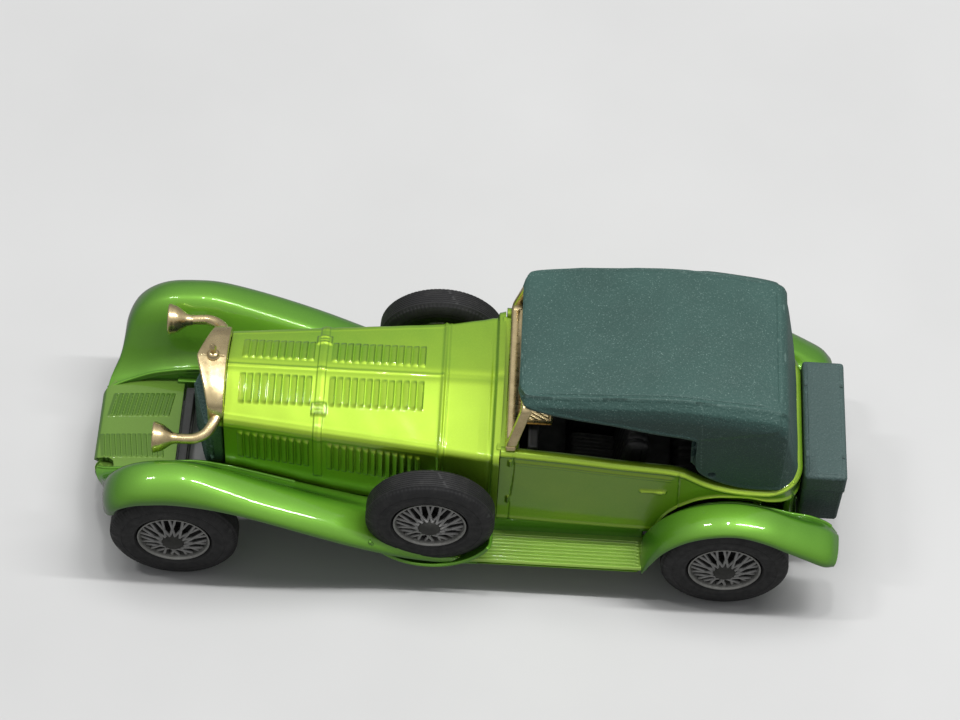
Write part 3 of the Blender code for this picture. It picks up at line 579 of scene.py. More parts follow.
def build_hood():
    """Hood and cowl as one cast surface with louvres, straps, hinges and bands."""
    xs = np.concatenate((np.arange(HOOD_FRONT_X, COWL_X, 0.075), [COWL_X]))
    sections = np.array([hood_section(x) for x in xs])
    x = np.repeat(xs[:, None], sections.shape[1], 1)
    points = np.stack((x, sections[..., 0], sections[..., 1]), axis=2)
    relief = hood_relief(points[..., 0], points[..., 1], points[..., 2], sections[..., 2])
    waves = 0.012 * np.sin(points[..., 0] * 1.3 + points[..., 1] * 0.7)
    points = raise_relief(points, relief + waves, (0, 60))
    front = drawn_in(points[:1], 0.9)
    points = np.concatenate((drawn_in(front, 0.01), front, points))
    hood = grid_obj("hood_and_cowl", points, BODY_PAINT, flip=True, smooth_deg=70)
    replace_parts(hood, "body_casting")


# ---------------------------------------------------------------- body casting: doors and rear

CABIN_TOP = ((COWL_X, 26.2), (12.0, 26.0), (20.0, 25.45), (27.4, 24.9), (29.2, 24.45), (30.6, 23.6),
             (32.2, 22.6), (34.4, 21.7), (37.0, 21.15), (40.0, 21.0), (CABIN_REAR_X, 21.0))
ARCH = ((25.9, 9.8), (26.4, 11.6), (27.2, 13.9), (28.4, 15.8), (30.0, 17.4), (31.9, 18.7), (34.5, 19.5),
        (37.8, 19.7), (41.3, 19.0), (44.2, 17.7), (47.0, 16.4))
DOOR_FRONT_X, DOOR_REAR_X = 6.3, 28.6
DOOR_HINGES_Z, HANDLE_Z = (24.2, 15.6), 20.1


def tub_path():
    """Plan of the right side from the cowl to the middle of the rear: points and directions out."""
    corner_x, corner_y, radius = 40.2, 7.6, 5.4
    straight = np.arange(COWL_X, corner_x, 0.1)
    half = smooth(straight, ((COWL_X, 12.4), (14.0, 12.75), (25.0, 13.0), (corner_x, corner_y + radius)))
    side = np.stack((straight, half), axis=1)
    a = np.linspace(0, np.pi / 2, 44)
    corner = np.stack((corner_x + radius * np.sin(a), corner_y + radius * np.cos(a)), axis=1)
    back = np.stack((np.full(30, CABIN_REAR_X), np.linspace(corner_y, 0, 31)[1:]), axis=1)
    path = np.vstack((side, corner, back))
    tangent = unit(np.gradient(path, axis=0))
    return path, np.stack((-tangent[:, 1], tangent[:, 0]), axis=1)


def tub_relief(x, z, top):
    """Door lines, mouldings, handle and lips on the tub's outer wall."""
    below = top - z
    on_side = 1 - step_up(x, 41.5, 1.0)
    door = band(x, DOOR_FRONT_X + 0.3, DOOR_REAR_X - 0.9, 0.8)
    h = 0.16 * ridge(below, 0.55, 0.30)
    h += 0.15 * ridge(below, 1.75, 0.17) * door + 0.09 * ridge(below, 2.25, 0.13) * door
    h -= 0.07 * ridge(below, 1.15, 0.2) * door
    low = smooth(x, ARCH)
    seam = ridge(x, DOOR_FRONT_X + 0.15 * np.sin(z * 0.35), 0.09) * band(below, 0.3, 40, 0.3)
    seam += ridge(x, DOOR_REAR_X + 0.06 * below, 0.09) * band(below, 0.3, 40, 0.3)
    h -= 0.16 * seam * on_side
    for hinge_z in DOOR_HINGES_Z:
        h += 0.30 * ridge(x, DOOR_FRONT_X - 0.32, 0.24) * band(z, hinge_z - 0.75, hinge_z + 0.75, 0.25)
    handle = band(x, 23.6, 27.2, 0.35) * ridge(z, HANDLE_Z, 0.26)
    h += 0.38 * handle + 0.2 * ridge(x, 26.4, 0.4) * ridge(z, HANDLE_Z, 0.5)
    h += (0.12 + 0.16 * step_up(x, 26.2, 0.6)) * ridge(z - np.maximum(low, BODY_BASE_Z), 0.35, 0.28)
    return h


def build_tub():
    """Doors, rear quarters and rear wall with a rolled top edge, cut away over the rear fenders."""
    path, outward = tub_path()
    top = smooth(path[:, 0], CABIN_TOP)
    wide = step_up(path[:, 1], 10.6, 0.8)
    low = np.maximum(BODY_BASE_Z, smooth(path[:, 0], ARCH) * wide * (path[:, 0] > 24.0))
    lip = [(1.5, -4.2), (1.5, -0.9), (1.42, -0.35), (1.2, -0.08), (0.85, 0.0), (0.45, -0.01), (0.18, -0.12),
           (0.04, -0.32)]
    rows = []
    for inset, dz in lip:
        rows.append(np.column_stack((path - outward * inset, top + dz)))
    for t in np.linspace(0, 1, 92)[1:]:
        z = (top + lip[-1][1]) * (1 - t) + low * t
        out = tub_relief(path[:, 0], z, top)
        rows.append(np.column_stack((path + outward * out[:, None], z)))
    rows.append(np.column_stack((path - outward * SHELL, low)))
    right = np.array(rows).transpose(1, 0, 2)
    left = right[::-1][1:] * (1, -1, 1)
    tub = grid_obj("doors_and_rear", np.concatenate((right, left)), BODY_PAINT, smooth_deg=70)
    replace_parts(tub, "body_casting")


def build_body_inside():
    """The unseen sides of the body casting: hollow roof, bulkheads, rear floor and rivet posts."""
    pieces = [block("scuttle", (COWL_X - 0.6, -11.3, 24.2), (7.0, 11.3, 25.5), BODY_PAINT, 0.25),
              block("bulkhead", (5.9, -11.0, BODY_BASE_Z), (7.0, 11.0, 24.4), BODY_PAINT),
              block("rear_deck", (39.4, -10.9, 19.8), (44.6, 10.9, 20.9), BODY_PAINT),
              block("rear_bulkhead", (39.4, -11.2, BODY_BASE_Z), (40.5, 11.2, 20.0), BODY_PAINT)]
    for k, (x, radius, top) in enumerate(((RIVET_X[0], 1.9, 25.0), (RIVET_X[1], 1.7, 20.2))):
        profile = [(1.0, 15.0), (1.0, BODY_BASE_Z + 0.1), (radius, BODY_BASE_Z + 0.1), (radius, top)]
        pieces.append(lathe(f"rivet_post_{k}", profile, (x, 0, 0), 2, 1, BODY_PAINT, 40))
    replace_all(pieces, "body_casting")


# ---------------------------------------------------------------- chassis casting

# Stations: crest (x, z), inner edge (x, y, z), outer lip (x, z), outer y, z at the foot of the inner wall
FRONT_FENDER = (
    (-49.2, 12.4, -51.2, 6.6, 9.5, -46.9, 15.4, 18.0, 8.6),
    (-49.0, 15.2, -49.6, 7.2, 10.2, -46.5, 16.5, 18.4, 8.2),
    (-47.9, 18.0, -47.4, 7.6, 11.1, -45.7, 17.3, 18.6, 8.0),
    (-45.8, 20.3, -44.9, 7.8, 12.2, -44.2, 18.1, 18.7, 8.0),
    (-43.0, 21.7, -42.4, 7.8, 13.0, -42.4, 18.6, 18.8, 8.0),
    (-39.4, 22.2, -39.6, 7.8, 13.6, -39.6, 18.9, 18.8, 8.0),
    (-36.0, 21.9, -36.4, 7.8, 13.9, -36.2, 18.8, 18.9, 8.0),
    (-32.0, 20.5, -32.2, 8.3, 13.8, -32.2, 18.0, 18.9, 8.4),
    (-27.0, 18.4, -27.0, 8.85, 13.0, -27.2, 16.3, 18.9, 9.0),
    (-21.0, 15.9, -21.0, 9.5, 12.0, -21.2, 13.7, 18.8, 9.0),
    (-15.0, 13.2, -15.0, 10.15, 11.2, -15.2, 10.9, 18.5, 9.0),
    (-10.0, 10.9, -10.0, 10.7, 10.6, -10.1, 8.7, 18.1, 8.4),
    (-6.0, 9.1, -6.0, 11.15, 9.1, -6.0, 7.4, 17.8, 7.4),
    (-2.0, 7.8, -2.0, 11.6, 7.8, -2.0, 6.6, 17.5, 6.6),
    (2.4, 7.2, 2.4, 11.4, 7.2, 2.4, 6.2, 17.2, 6.2))
REAR_FENDER = (
    (24.6, 7.2, 26.3, 12.4, 7.2, 25.0, 6.2, 17.4, 6.2),
    (25.0, 10.6, 27.0, 12.4, 10.6, 26.0, 9.6, 18.0, 8.0),
    (26.6, 14.6, 28.2, 12.4, 13.5, 27.6, 13.5, 18.5, 10.0),
    (29.4, 17.8, 30.4, 12.4, 15.7, 30.2, 16.4, 18.7, 10.0),
    (33.0, 19.7, 33.4, 12.4, 17.2, 33.4, 18.1, 18.8, 10.0),
    (37.0, 20.2, 37.0, 12.4, 17.8, 37.0, 18.6, 18.8, 10.0),
    (41.0, 19.3, 40.8, 12.4, 17.1, 40.6, 17.5, 18.8, 10.0),
    (44.6, 17.6, 44.4, 12.4, 16.0, 44.0, 15.6, 18.8, 10.0),
    (47.6, 15.9, 47.4, 12.3, 15.2, 46.9, 13.8, 18.7, 10.4),
    (50.2, 14.2, 50.0, 12.3, 13.7, 49.4, 12.2, 18.5, 11.4),
    (51.5, 12.7, 51.3, 12.9, 12.5, 50.9, 11.4, 17.8, 11.6))
SHOULDER = 4.1  # from the crest out to the lip


def fender_points(stations, steps, side):
    """Outer skin of a fender from its inner edge over the crest to the lip, for side -1 or 1."""
    t = np.linspace(0, len(stations) - 1, steps)
    cx, cz, ix, iy, iz, lx, lz, out = spline(stations, t).T[:8]
    inner = np.stack((ix, iy, iz), axis=1)
    top = np.stack((cx, out - SHOULDER, cz), axis=1)
    reach = np.stack((0 * cx, (top[:, 1] - iy) * 0.45, 0 * cx), axis=1)
    across = bezier(inner, inner + reach, top - reach, top, np.linspace(0, 1, 26)[:-1]).transpose(1, 0, 2)
    a = np.linspace(0, np.pi / 2, 16)
    turn = 1 - np.cos(a)
    arc = np.stack((cx[:, None] + (lx - cx)[:, None] * turn, top[:, 1:2] + SHOULDER * np.sin(a),
                    cz[:, None] + (lz - cz)[:, None] * turn * (0.85 + 0.15 * (a > 1.5))), axis=2)
    return np.concatenate((across, arc), axis=1) * (1, side, 1)


def build_fender(label, stations, steps, side):
    """A fender's skin, the wall below its inner edge, and the bead along the part of that edge in view."""
    points = fender_points(stations, steps, side)
    skin = grid_obj(f"{label}_fender_skin", points, CHASSIS_SHADED_PAINT)
    thicken(skin, SHELL, (0, side * 0.3, 1), 0.22)
    t = np.linspace(0, len(stations) - 1, steps)
    ix, iy, iz, foot = spline(stations, t).T[[2, 3, 4, 8]]
    heights = (iz - 0.2, foot * 0.5 + iz * 0.5, foot)
    wall = np.stack([np.stack((ix, side * (iy + 0.2), z), axis=1) for z in heights], axis=1)
    valance = grid_obj(f"{label}_valance", wall, CHASSIS_SHADED_PAINT)
    thicken(valance, 0.6, (0, -side, 0), 0.15)
    bead_path = np.stack((ix, side * (iy + 0.12), iz - 0.02), axis=1)
    shown = slice(2, int(steps * (0.62 if stations is FRONT_FENDER else 0.93)))
    bead = tube(f"{label}_bead", bead_path[shown], 0.22, CHASSIS_SHADED_PAINT, 10)
    replace_all((skin, valance, bead), "chassis_casting")


def apron_louvres(x, y):
    """Height of the two bands of slanted blades, between 0 and 1."""
    pitch, first_x, last_x = 0.74, -50.74, -41.86
    height = np.zeros_like(x)
    for low, high, slant in ((1.5, 5.5, 0.14), (-5.5, -1.5, -0.16)):
        along = x - slant * (y - low)
        u = ((along + 50.0) / pitch % 1 - 0.5) / 0.42
        middle, half = (low + high) / 2, (high - low) / 2
        v = np.maximum(0, np.abs(y - middle) - (half - 0.35)) / 0.35
        inside = (along > first_x) & (along < last_x)
        rise = (0.5 + 0.5 * u) * (1 - step_up(u, 0.85, 0.3)) * (np.abs(u) < 1)
        blade = rise * np.sqrt(np.clip(1 - v * v, 0, 1))
        height = np.maximum(height, blade * inside)
    return height


def build_apron():
    """The plate between the front fenders, with louvres and a round recess at its left front corner."""
    front_x, rear_x, half_y = -51.7, -40.3, 8.0
    notch_x, notch_y, notch_r = -49.95, -6.65, 1.1
    xs, ys = np.arange(front_x, rear_x + 0.05, 0.07), np.arange(-half_y, half_y + 0.01, 0.1)
    x, y = np.meshgrid(xs, ys, indexing="ij")
    front = front_x + 1.5 * step_up(np.abs(y), 6.9, 2.6)
    x = front + (x - front_x) * (rear_x - front) / (rear_x - front_x)
    z = smooth(x, ((-51.8, 9.3), (-51.2, 9.9), (-49.0, 10.2), (-45.0, 10.6), (rear_x, 10.9)))
    points = np.stack((x, y, z + 0.30 * apron_louvres(x, y)), axis=2)
    notch = (x - notch_x) ** 2 + (y - notch_y) ** 2 < notch_r ** 2
    notch |= (x < notch_x) & (np.abs(y - notch_y) < notch_r)
    gone = notch.reshape(-1)
    faces = [f for f in grid_faces(*x.shape) if not any(gone[v] for v in f)]
    apron = obj_from("apron", points.reshape(-1, 3), faces, APRON_SHADED_PAINT)
    edit_mesh(apron, drop_loose_points)
    thicken(apron, 0.9, (0, 0, 1), 0.12)
    bowl = [(0.01, 8.95), (1.35, 8.95), (1.45, 9.3), (1.5, 9.3), (1.5, 8.3), (0.01, 8.3)]
    recess = lathe("notch_floor", bowl, (notch_x, notch_y, 0), 2, 1, APRON_SHADED_PAINT, 40)
    replace_all((apron, recess), "chassis_casting")


def build_boards():
    """Running boards with ribs inside a raised border, and the sill above each."""
    first_rib_y, last_rib_y, rib_pitch = 12.75, 16.9, 0.56
    x, y = np.meshgrid(np.linspace(-0.3, 25.2, 200), np.linspace(SILL_Y - 0.6, BOARD_Y, 120), indexing="ij")
    ribs = 0.5 - 0.5 * np.cos((y - first_rib_y) / rib_pitch * 2 * np.pi)
    field = band(x, 1.2, 24.3, 0.5) * band(y, first_rib_y, last_rib_y, 0.2)
    roll = np.clip((y - BOARD_Y + 0.4) / 0.4, 0, 1)
    z = BOARD_TOP_Z - 0.28 + 0.30 * ribs ** 0.8 * field + 0.26 * (1 - field) - 0.35 * roll ** 2
    for name, side in SIDES:
        board = grid_obj(f"running_board_{name}", np.stack((x, y * side, z), axis=2), BOARD_LIT_PAINT)
        thicken(board, 0.7, (0, 0, 1), 0.15)
        low, high = sorted((side * (SILL_Y - 1.1), side * SILL_Y))
        sill = block(f"sill_{name}", (-4.0, low, 6.3), (25.0, high, 10.5), CHASSIS_SHADED_PAINT, 0.2)
        replace_all((board, sill), "chassis_casting")


def build_spare_well(side, label):
    """Bowl under the fender for the spare, its raised rim, and the boss that carries the spare's hub."""
    a = np.radians(np.linspace(205, 335, 60))
    radius, half = TYRE_R + 0.3, 2.4
    ys = np.linspace(SPARE_Y - half, SPARE_Y + half, 16)
    dish = 0.5 * (np.abs(ys - SPARE_Y) / half) ** 4
    points = np.array([[(SPARE_X + (radius - d) * np.cos(t), side * y, SPARE_Z + (radius - d) * np.sin(t))
                        for y, d in zip(ys, dish)] for t in a])
    bowl = grid_obj(f"spare_well_{label}", points, CHASSIS_SHADED_PAINT)
    thicken(bowl, 0.5, (0, 0, 1), 0.15)
    stub = [(0.01, 13.4), (1.1, 13.4), (1.5, 13.1), (1.5, 11.7), (0.01, 11.7)]
    boss = lathe(f"spare_boss_{label}", stub, (SPARE_X, 0, SPARE_Z), 1, side, CHASSIS_SHADED_PAINT, 40)
    low, high = sorted((side * 11.6, side * 12.2))
    plate = [(-6.6, 10.3), (-2.2, 10.3), (-3.0, 15.2), (SPARE_X, 16.1), (-5.8, 15.2)]
    bracket = prism(f"spare_bracket_{label}", plate, 1, low, high, CHASSIS_SHADED_PAINT, 0.15)
    replace_all((bowl, boss, bracket), "chassis_casting")


def build_floor():
    """The chassis floor and the four lugs that carry the axles."""
    edge = [(-37.0, 0.0), (-37.0, 1.5), (-35.6, 5.0), (-34.6, 8.3), (-27.0, 8.9), (-21.0, 9.6),
            (-15.0, 10.4), (-10.0, 11.0), (-4.0, 11.6), (1.0, SILL_Y), (24.0, SILL_Y), (24.4, 12.8),
            (46.0, 12.8), (46.0, 6.0), (51.2, 6.0)]
    outline = edge + [(x, -y) for x, y in edge[::-1] if y > 0]
    pieces = [prism("chassis_floor", outline, 2, FLOOR_Z, FLOOR_Z + FLOOR_T, CHASSIS_SHADED_PAINT, 0.15)]
    half, foot_z, shoulder_z = 1.9, 6.7, 8.0
    ends = (("front", FRONT_AXLE_X, 7.3, 8.55, 11.4), ("rear", REAR_AXLE_X, 8.2, 9.8, 10.2))
    for name, side in SIDES:
        for end, x, near, far, top in ends:
            low, high = sorted((side * near, side * far))
            lug = ((-1, top), (-1, shoulder_z), (-0.7, foot_z), (0.7, foot_z), (1, shoulder_z), (1, top))
            ring = [(x + half * u, z) for u, z in lug]
            pieces.append(prism(f"bearing_{end}_{name}", ring, 1, low, high, CHASSIS_SHADED_PAINT, 0.15))
    replace_all(pieces, "chassis_casting")


# ---------------------------------------------------------------- radiator and lamps

# Right half of the plated arch as (y, z), from the middle to its foot, and of the core's foot
RADIATOR_HALF = ((0.0, 28.0), (2.2, 27.6), (4.2, 27.1), (5.8, 26.4), (6.8, 25.5), (7.25, 24.2),
                 (7.3, 22.9), (7.3, 21.75))
CORE_HALF = ((0.0, 11.0), (2.4, 11.0), (4.6, 11.02), (5.9, 11.5), (6.7, 12.5), (7.05, 13.9), (7.1, 16.0),
             (7.1, 18.5), (7.1, 21.4))
SHELL_FOOT_Z, CORE_BEND_Z = 21.7, 21.4
RADIATOR_REAR_X, RADIATOR_SIDE_X, RADIATOR_APEX_X = -33.3, -34.9, -37.2
CORE_PROUD = 0.6
LAMP_FACE = (-42.2, 10.05, 22.2)
LAMP_R = 2.13
CAP_X = -34.9


def radiator_arch(inset):
    """The arch as (y, z) from the left foot over the top to the right foot, moved inwards by inset."""
    right = spline(RADIATOR_HALF, np.linspace(0, len(RADIATOR_HALF) - 1, 60))
    arch = np.vstack((right[:0:-1] * (-1, 1), right))
    tangent = unit(np.gradient(arch, axis=0))
    return arch + np.stack((tangent[:, 1], -tangent[:, 0]), axis=1) * inset


def v_front(y):
    """The x of the radiator's V-shaped front."""
    return RADIATOR_APEX_X + (RADIATOR_SIDE_X - RADIATOR_APEX_X) * np.sqrt(np.asarray(y) ** 2 + 0.12) / 7.8


def arch_loop(inset, behind_front=None):
    """A line over the arch from foot to foot, behind_front of the V face or else at the rear."""
    y, z = radiator_arch(inset).T
    x = np.full_like(y, RADIATOR_REAR_X + 0.25) if behind_front is None else v_front(y) + behind_front
    points = np.stack((x, y, z), axis=1)
    left, right = (points[i] * (1, 1, 0) + (0, 0, SHELL_FOOT_Z) for i in (0, -1))
    return np.vstack(([left], points, [right]))


def build_radiator():
    """The plated surround with the ridge along its top, and the filler cap with a plain finial."""
    loops = [arch_loop(1.3), arch_loop(0.12), arch_loop(0.0) + (-0.12, 0, 0)]
    section = ((0.0, 0.18), (0.05, 0.06), (0.18, 0.0), (0.62, 0.0), (0.78, 0.05), (0.84, 0.2),
               (0.86, 0.9), (1.3, 1.0))
    loops += [arch_loop(inset, behind) for inset, behind in section]
    shell = grid_obj("radiator_surround", np.array(loops), GOLD, None, wrap_rows=True, smooth_deg=50)
    edit_mesh(shell, lambda bm: bmesh.ops.holes_fill(bm, edges=[e for e in bm.edges if e.is_boundary]))
    fix_normals(shell)
    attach(shell, "car")
    crest = [(-36.95, 0, 27.78), (-36.0, 0, 27.9), (-35.0, 0, 27.94), (-33.4, 0, 27.94)]
    ridge_line = tube("radiator_ridge", crest, (0.16, 0.2, 0.22, 0.22), GOLD)
    turned = [(0.01, 27.3), (0.95, 27.7), (0.92, 28.1), (0.8, 28.2), (0.76, 28.4), (0.6, 28.55),
              (0.40, 28.62), (0.33, 28.8), (0.32, 29.05), (0.45, 29.3), (0.52, 29.55), (0.46, 29.85),
              (0.28, 30.15), (0.12, 30.4), (0.01, 30.5)]
    cap = lathe("filler_cap", turned, (CAP_X, 0, 0), 2, 1, GOLD, 48)
    replace_all((shell, ridge_line, cap), "radiator_shell")


def build_core():
    """Grille in the arch and below it: a fine diamond mesh on a V front with rounded lower corners."""
    foot = spline(CORE_HALF, np.linspace(0, len(CORE_HALF) - 1, 60))
    arch = radiator_arch(0.9)
    upper = arch[(arch[:, 0] >= 0) & (arch[:, 1] > CORE_BEND_Z)]
    t = np.linspace(0, 1, 210)
    half = 6.35 + 0.7 * step_up(-t, -0.62, 0.01)
    y = np.linspace(-1, 1, 190)[:, None] * half[None, :]
    order = np.argsort(upper[:, 0])
    top = np.interp(np.abs(y), upper[order, 0], upper[order, 1])
    low = np.interp(np.abs(y), foot[:, 0], foot[:, 1])
    above = CORE_BEND_Z + (np.maximum(top, CORE_BEND_Z + 0.1) - CORE_BEND_Z) * (t - 0.62) / 0.38
    z = np.where(t < 0.62, low + (CORE_BEND_Z - low) * t / 0.62, above)
    mesh_lines = np.maximum(ridge((y + z) % 0.62 - 0.31, 0, 0.1), ridge((y - z) % 0.62 - 0.31, 0, 0.1))
    roll = 0.5 * np.clip((np.abs(y) - half[None, :] + 0.5) / 0.5, 0, 1) ** 2
    in_arch = step_up(z, 21.6, 0.9)
    proud = CORE_PROUD * (1 - in_arch) - 0.35 * in_arch
    x = v_front(y) - proud + 0.16 - 0.14 * mesh_lines - 0.16 * ridge(y, 0, 0.22) + roll
    core = grid_obj("grille", np.stack((x, y, z), axis=2), GREEN)
    thicken(core, 0.7, (-1, 0, 0), 0.0)
    corner = [(7.05, 21.3), (7.05, 13.6), (6.65, 12.2), (5.8, 11.35), (4.5, 11.02)]
    outline = corner + [(-y, z) for y, z in reversed(corner)]
    back = prism("core_foot", outline, 0, -35.1, RADIATOR_REAR_X - 0.05, GREEN, 0.25)
    replace_all((core, back), "radiator_core")


def build_lamps():
    """Trumpet lamps on bent arms, each with a rim and a dished face."""
    x, y, z = LAMP_FACE
    bend = [(-33.9, 6.8, 23.4), (-34.4, 8.1, 23.1), (-35.2, 9.3, 22.7), (-36.5, 10.05, 22.45),
            (-37.9, 10.15, 22.3), (-39.3, 10.06, 22.2)]
    path = spline(bend, np.linspace(0, len(bend) - 1, 60))
    trumpet = [(0.01, 0.75), (0.7, 0.7), (1.3, 0.5), (1.68, 0.22), (1.78, 0.02), (1.9, -0.1),
               (2.06, -0.08), (LAMP_R, 0.08), (2.12, 0.24), (2.0, 0.45), (1.94, 0.8), (1.8, 1.15),
               (1.58, 1.5), (1.32, 1.85), (1.06, 2.2), (0.86, 2.5), (0.76, 2.8), (0.72, 3.2), (0.5, 3.5),
               (0.01, 3.55)]
    nipple = [(0.01, 0.4), (0.24, 0.44), (0.36, 0.58), (0.38, 0.72)]
    for name, side in SIDES:
        face = (x, side * y, z)
        arm = tube(f"lamp_arm_{name}", path * (1, side, 1), np.linspace(0.76, 0.66, 60), GOLD, 24)
        lamp = lathe(f"lamp_{name}", trumpet, face, 0, 1, GOLD, 64, smooth_deg=60)
        centre = lathe(f"lamp_centre_{name}", nipple, face, 0, 1, GOLD, 32)
        replace_all((arm, lamp, centre), "radiator_shell")


# ---------------------------------------------------------------- windscreen

def rounded_outline(half_low, half_high, low, high, radius):
    """A rectangle, narrower at one end, with round corners."""
    points = []
    corners = ((-half_low, low, 180), (half_low, low, 270), (half_high, high, 0), (-half_high, high, 90))
    for y, s, start in corners:
        centre_y = y + radius * (1 if y < 0 else -1)
        centre_s = s + radius * (1 if s == low else -1)
        for a in np.radians(np.linspace(start, start + 90, 10)):
            points.append((centre_y + radius * math.cos(a), centre_s + radius * math.sin(a)))
    return np.array(points)


def build_windscreen():
    """A flat bar bent round a raked rectangle, brackets at its feet, and the hatched shelf behind it."""
    x0, z0, x1, z1 = 5.1, 26.72, 7.1, 34.58
    length = math.hypot(x1 - x0, z1 - z0)
    outer = rounded_outline(12.15, 11.3, 0.0, length, 1.1)
    inner = rounded_outline(11.25, 10.45, 1.0, length - 0.8, 0.7)
    profile = [(0.12, 0.0), (0.0, 0.12), (0.0, 0.88), (0.12, 1.0), (0.5, 1.06), (0.88, 1.0), (1.0, 0.88),
               (1.0, 0.12), (0.88, 0.0), (0.5, -0.04)]
    rings = []
    for a, b in zip(outer, inner):
        ring = []
        for across, deep in profile:
            y, s = a + (b - a) * across
            ring.append((x0 + (x1 - x0) * s / length + 1.35 * deep, y, z0 + (z1 - z0) * s / length))
        rings.append(ring)
    frame_bar = grid_obj("windscreen_bar", np.array(rings), GOLD, None, False, True, True, 45)
    fix_normals(frame_bar)
    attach(frame_bar, "car")
    pieces = [frame_bar]
    for name, side in SIDES:
        low, high = sorted((side * 11.0, side * 12.1))
        pieces.append(block(f"windscreen_foot_{name}", (5.2, low, 26.3), (6.6, high, 27.2), GOLD, 0.2))
    front_x, rear_x, half_y, shelf_z, pitch = 5.6, 11.3, 7.3, 26.62, 0.62
    x, y = np.meshgrid(np.linspace(front_x, rear_x, 110), np.linspace(-half_y, half_y, 260), indexing="ij")
    from_edge = np.minimum(np.minimum(x - front_x, rear_x - x), half_y - np.abs(y))
    hatch = ridge((x * 0.6 + y) % pitch - pitch / 2, 0, 0.12) * step_up(from_edge, 0.45, 0.2)
    z = shelf_z + 0.16 * hatch + 0.14 * (1 - step_up(from_edge, 0.3, 0.15))
    shelf = grid_obj("instrument_shelf", np.stack((x, y, z), axis=2), GOLD)
    thicken(shelf, 0.55, (0, 0, 1), 0.1)
    replace_all(pieces + [shelf], "windscreen_frame")


# ---------------------------------------------------------------- raised hood

# Stations: x, centre height, crease half-width, crease height, side half-width at the waist
TOP_STATIONS = (
    (6.5, 36.9, 8.2, 36.3, 9.0), (7.0, 37.1, 9.6, 36.6, 10.7), (8.2, 37.3, 10.5, 36.8, 11.8),
    (14.0, 37.9, 10.8, 37.3, 12.3), (21.0, 38.4, 10.9, 37.9, 12.5), (28.0, 38.55, 10.9, 38.1, 12.6),
    (35.0, 37.95, 10.9, 37.4, 12.6), (41.4, 36.6, 10.6, 36.0, 12.6), (42.6, 33.2, 10.4, 32.6, 12.3),
    (43.5, 29.2, 10.2, 28.6, 11.6), (44.3, 25.4, 9.6, 24.9, 10.6), (44.9, 22.2, 8.2, 21.9, 8.9))
# Lower edge of the side as (x, z), round the opening, and the fold across the rear quarter
TOP_EDGE = ((6.5, 35.5), (7.9, 35.25), (10.9, 34.8), (18.8, 33.8), (24.4, 32.7), (30.1, 31.7),
            (30.35, 31.2), (30.5, 28.2), (30.65, 26.0), (31.2, 24.7), (32.3, 23.65), (33.8, 22.75),
            (35.6, 22.0), (38.0, 21.45), (40.0, 21.35), (50.0, 21.35))
FOLD = ((29.0, 31.6), (35.0, 33.0), (41.3, 34.4))
SIDE_BULGE = ((0.0, 0.0), (0.05, 0.6), (0.16, 0.9), (0.5, 1.0), (1.0, 1.0))
BOWS_X = (14.5, 21.5, 28.5, 35.2)
VENT_X, VENT_Z = 33.0, 24.2


def top_parameters(count):
    """Station parameters spaced by travel along the edge, for enough of them at the opening's steep end."""
    fine = np.linspace(0, len(TOP_STATIONS) - 1, 6000)
    fine_x = spline(TOP_STATIONS, fine)[:, 0]
    steps = np.hypot(np.diff(fine_x), 0.8 * np.diff(smooth(fine_x, TOP_EDGE)))
    travel = np.concatenate(([0.0], np.cumsum(steps))) + 14 * fine / fine[-1]
    return np.interp(np.linspace(0, travel[-1], count), travel, fine)


def build_soft_top():
    """The raised hood as one skin: edge seams, bows under the cloth, raised quarters, openings, a vent."""
    x, centre_z, crease_y, crease_z, waist_y = spline(TOP_STATIONS, top_parameters(520)).T
    edge = smooth(x, TOP_EDGE)
    rows = []
    for s in np.concatenate((np.linspace(0, 0.85, 36), np.linspace(0.86, 1.0, 26))):
        y = crease_y * s
        rows.append((x, y, centre_z + (crease_z + 0.25 - centre_z) * s ** 1.8))
    side_top = crease_z - 0.25
    full = side_top - 20.0
    for s in np.linspace(0, 1, 100):
        z = side_top + (np.minimum(edge, side_top - 0.3) - side_top) * s
        drop = np.clip((side_top - z) / full, 0, 1)
        rows.append((x, crease_y + 0.2 + (waist_y - crease_y - 0.2) * smooth(drop, SIDE_BULGE), z))
    points = np.array(rows).transpose(2, 0, 1)
    points = np.concatenate((points[:, :0:-1] * (1, -1, 1), points), axis=1)
    px, py, pz = points[..., 0], np.abs(points[..., 1]), points[..., 2]
    crease, half, lower = (line[:, None] for line in (crease_z, crease_y, edge))
    before_rear = 1 - step_up(px, 41.0, 0.5)
    on_top = pz > crease - 0.5
    side_seam = -0.15 * ridge(py, half - 0.40, 0.13) * on_top
    h = side_seam * step_up(px, 9.0, 1.5) * (1 - step_up(px, 38.8, 1.2))
    rear_seam = 0.06 * ridge(px, 41.2, 0.5) - 0.15 * ridge(px, 40.8, 0.16)
    h += rear_seam * on_top * (1 - step_up(py, half - 1.8, 1.0))
    on_side = (pz < crease - 0.2) * step_up(px, 30.6, 2.0) * before_rear
    h += 0.16 * on_side * step_up(pz, smooth(px, FOLD), 0.9)
    for bow_x in BOWS_X:
        h += 0.045 * ridge(px, bow_x, 1.1) * on_top
    h += 0.05 * np.sin(px * 0.55 + py * 0.3) * np.sin(py * 0.5)
    h -= 0.62 * (1 - step_up(np.hypot(px - VENT_X, pz - VENT_Z), 0.46, 0.25)) * (points[..., 1] < 0)
    h += 0.10 * ridge(pz, lower + 0.3, 0.25)
    points = raise_relief(points, h, (60, points.shape[1] // 2))
    top = grid_obj("soft_top_skin", points, GREEN, smooth_deg=70)
    thicken(top, 0.7, (0, 0, 1), 0.0)
    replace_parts(top, "soft_top")


# ---------------------------------------------------------------- trunk, interior, underside

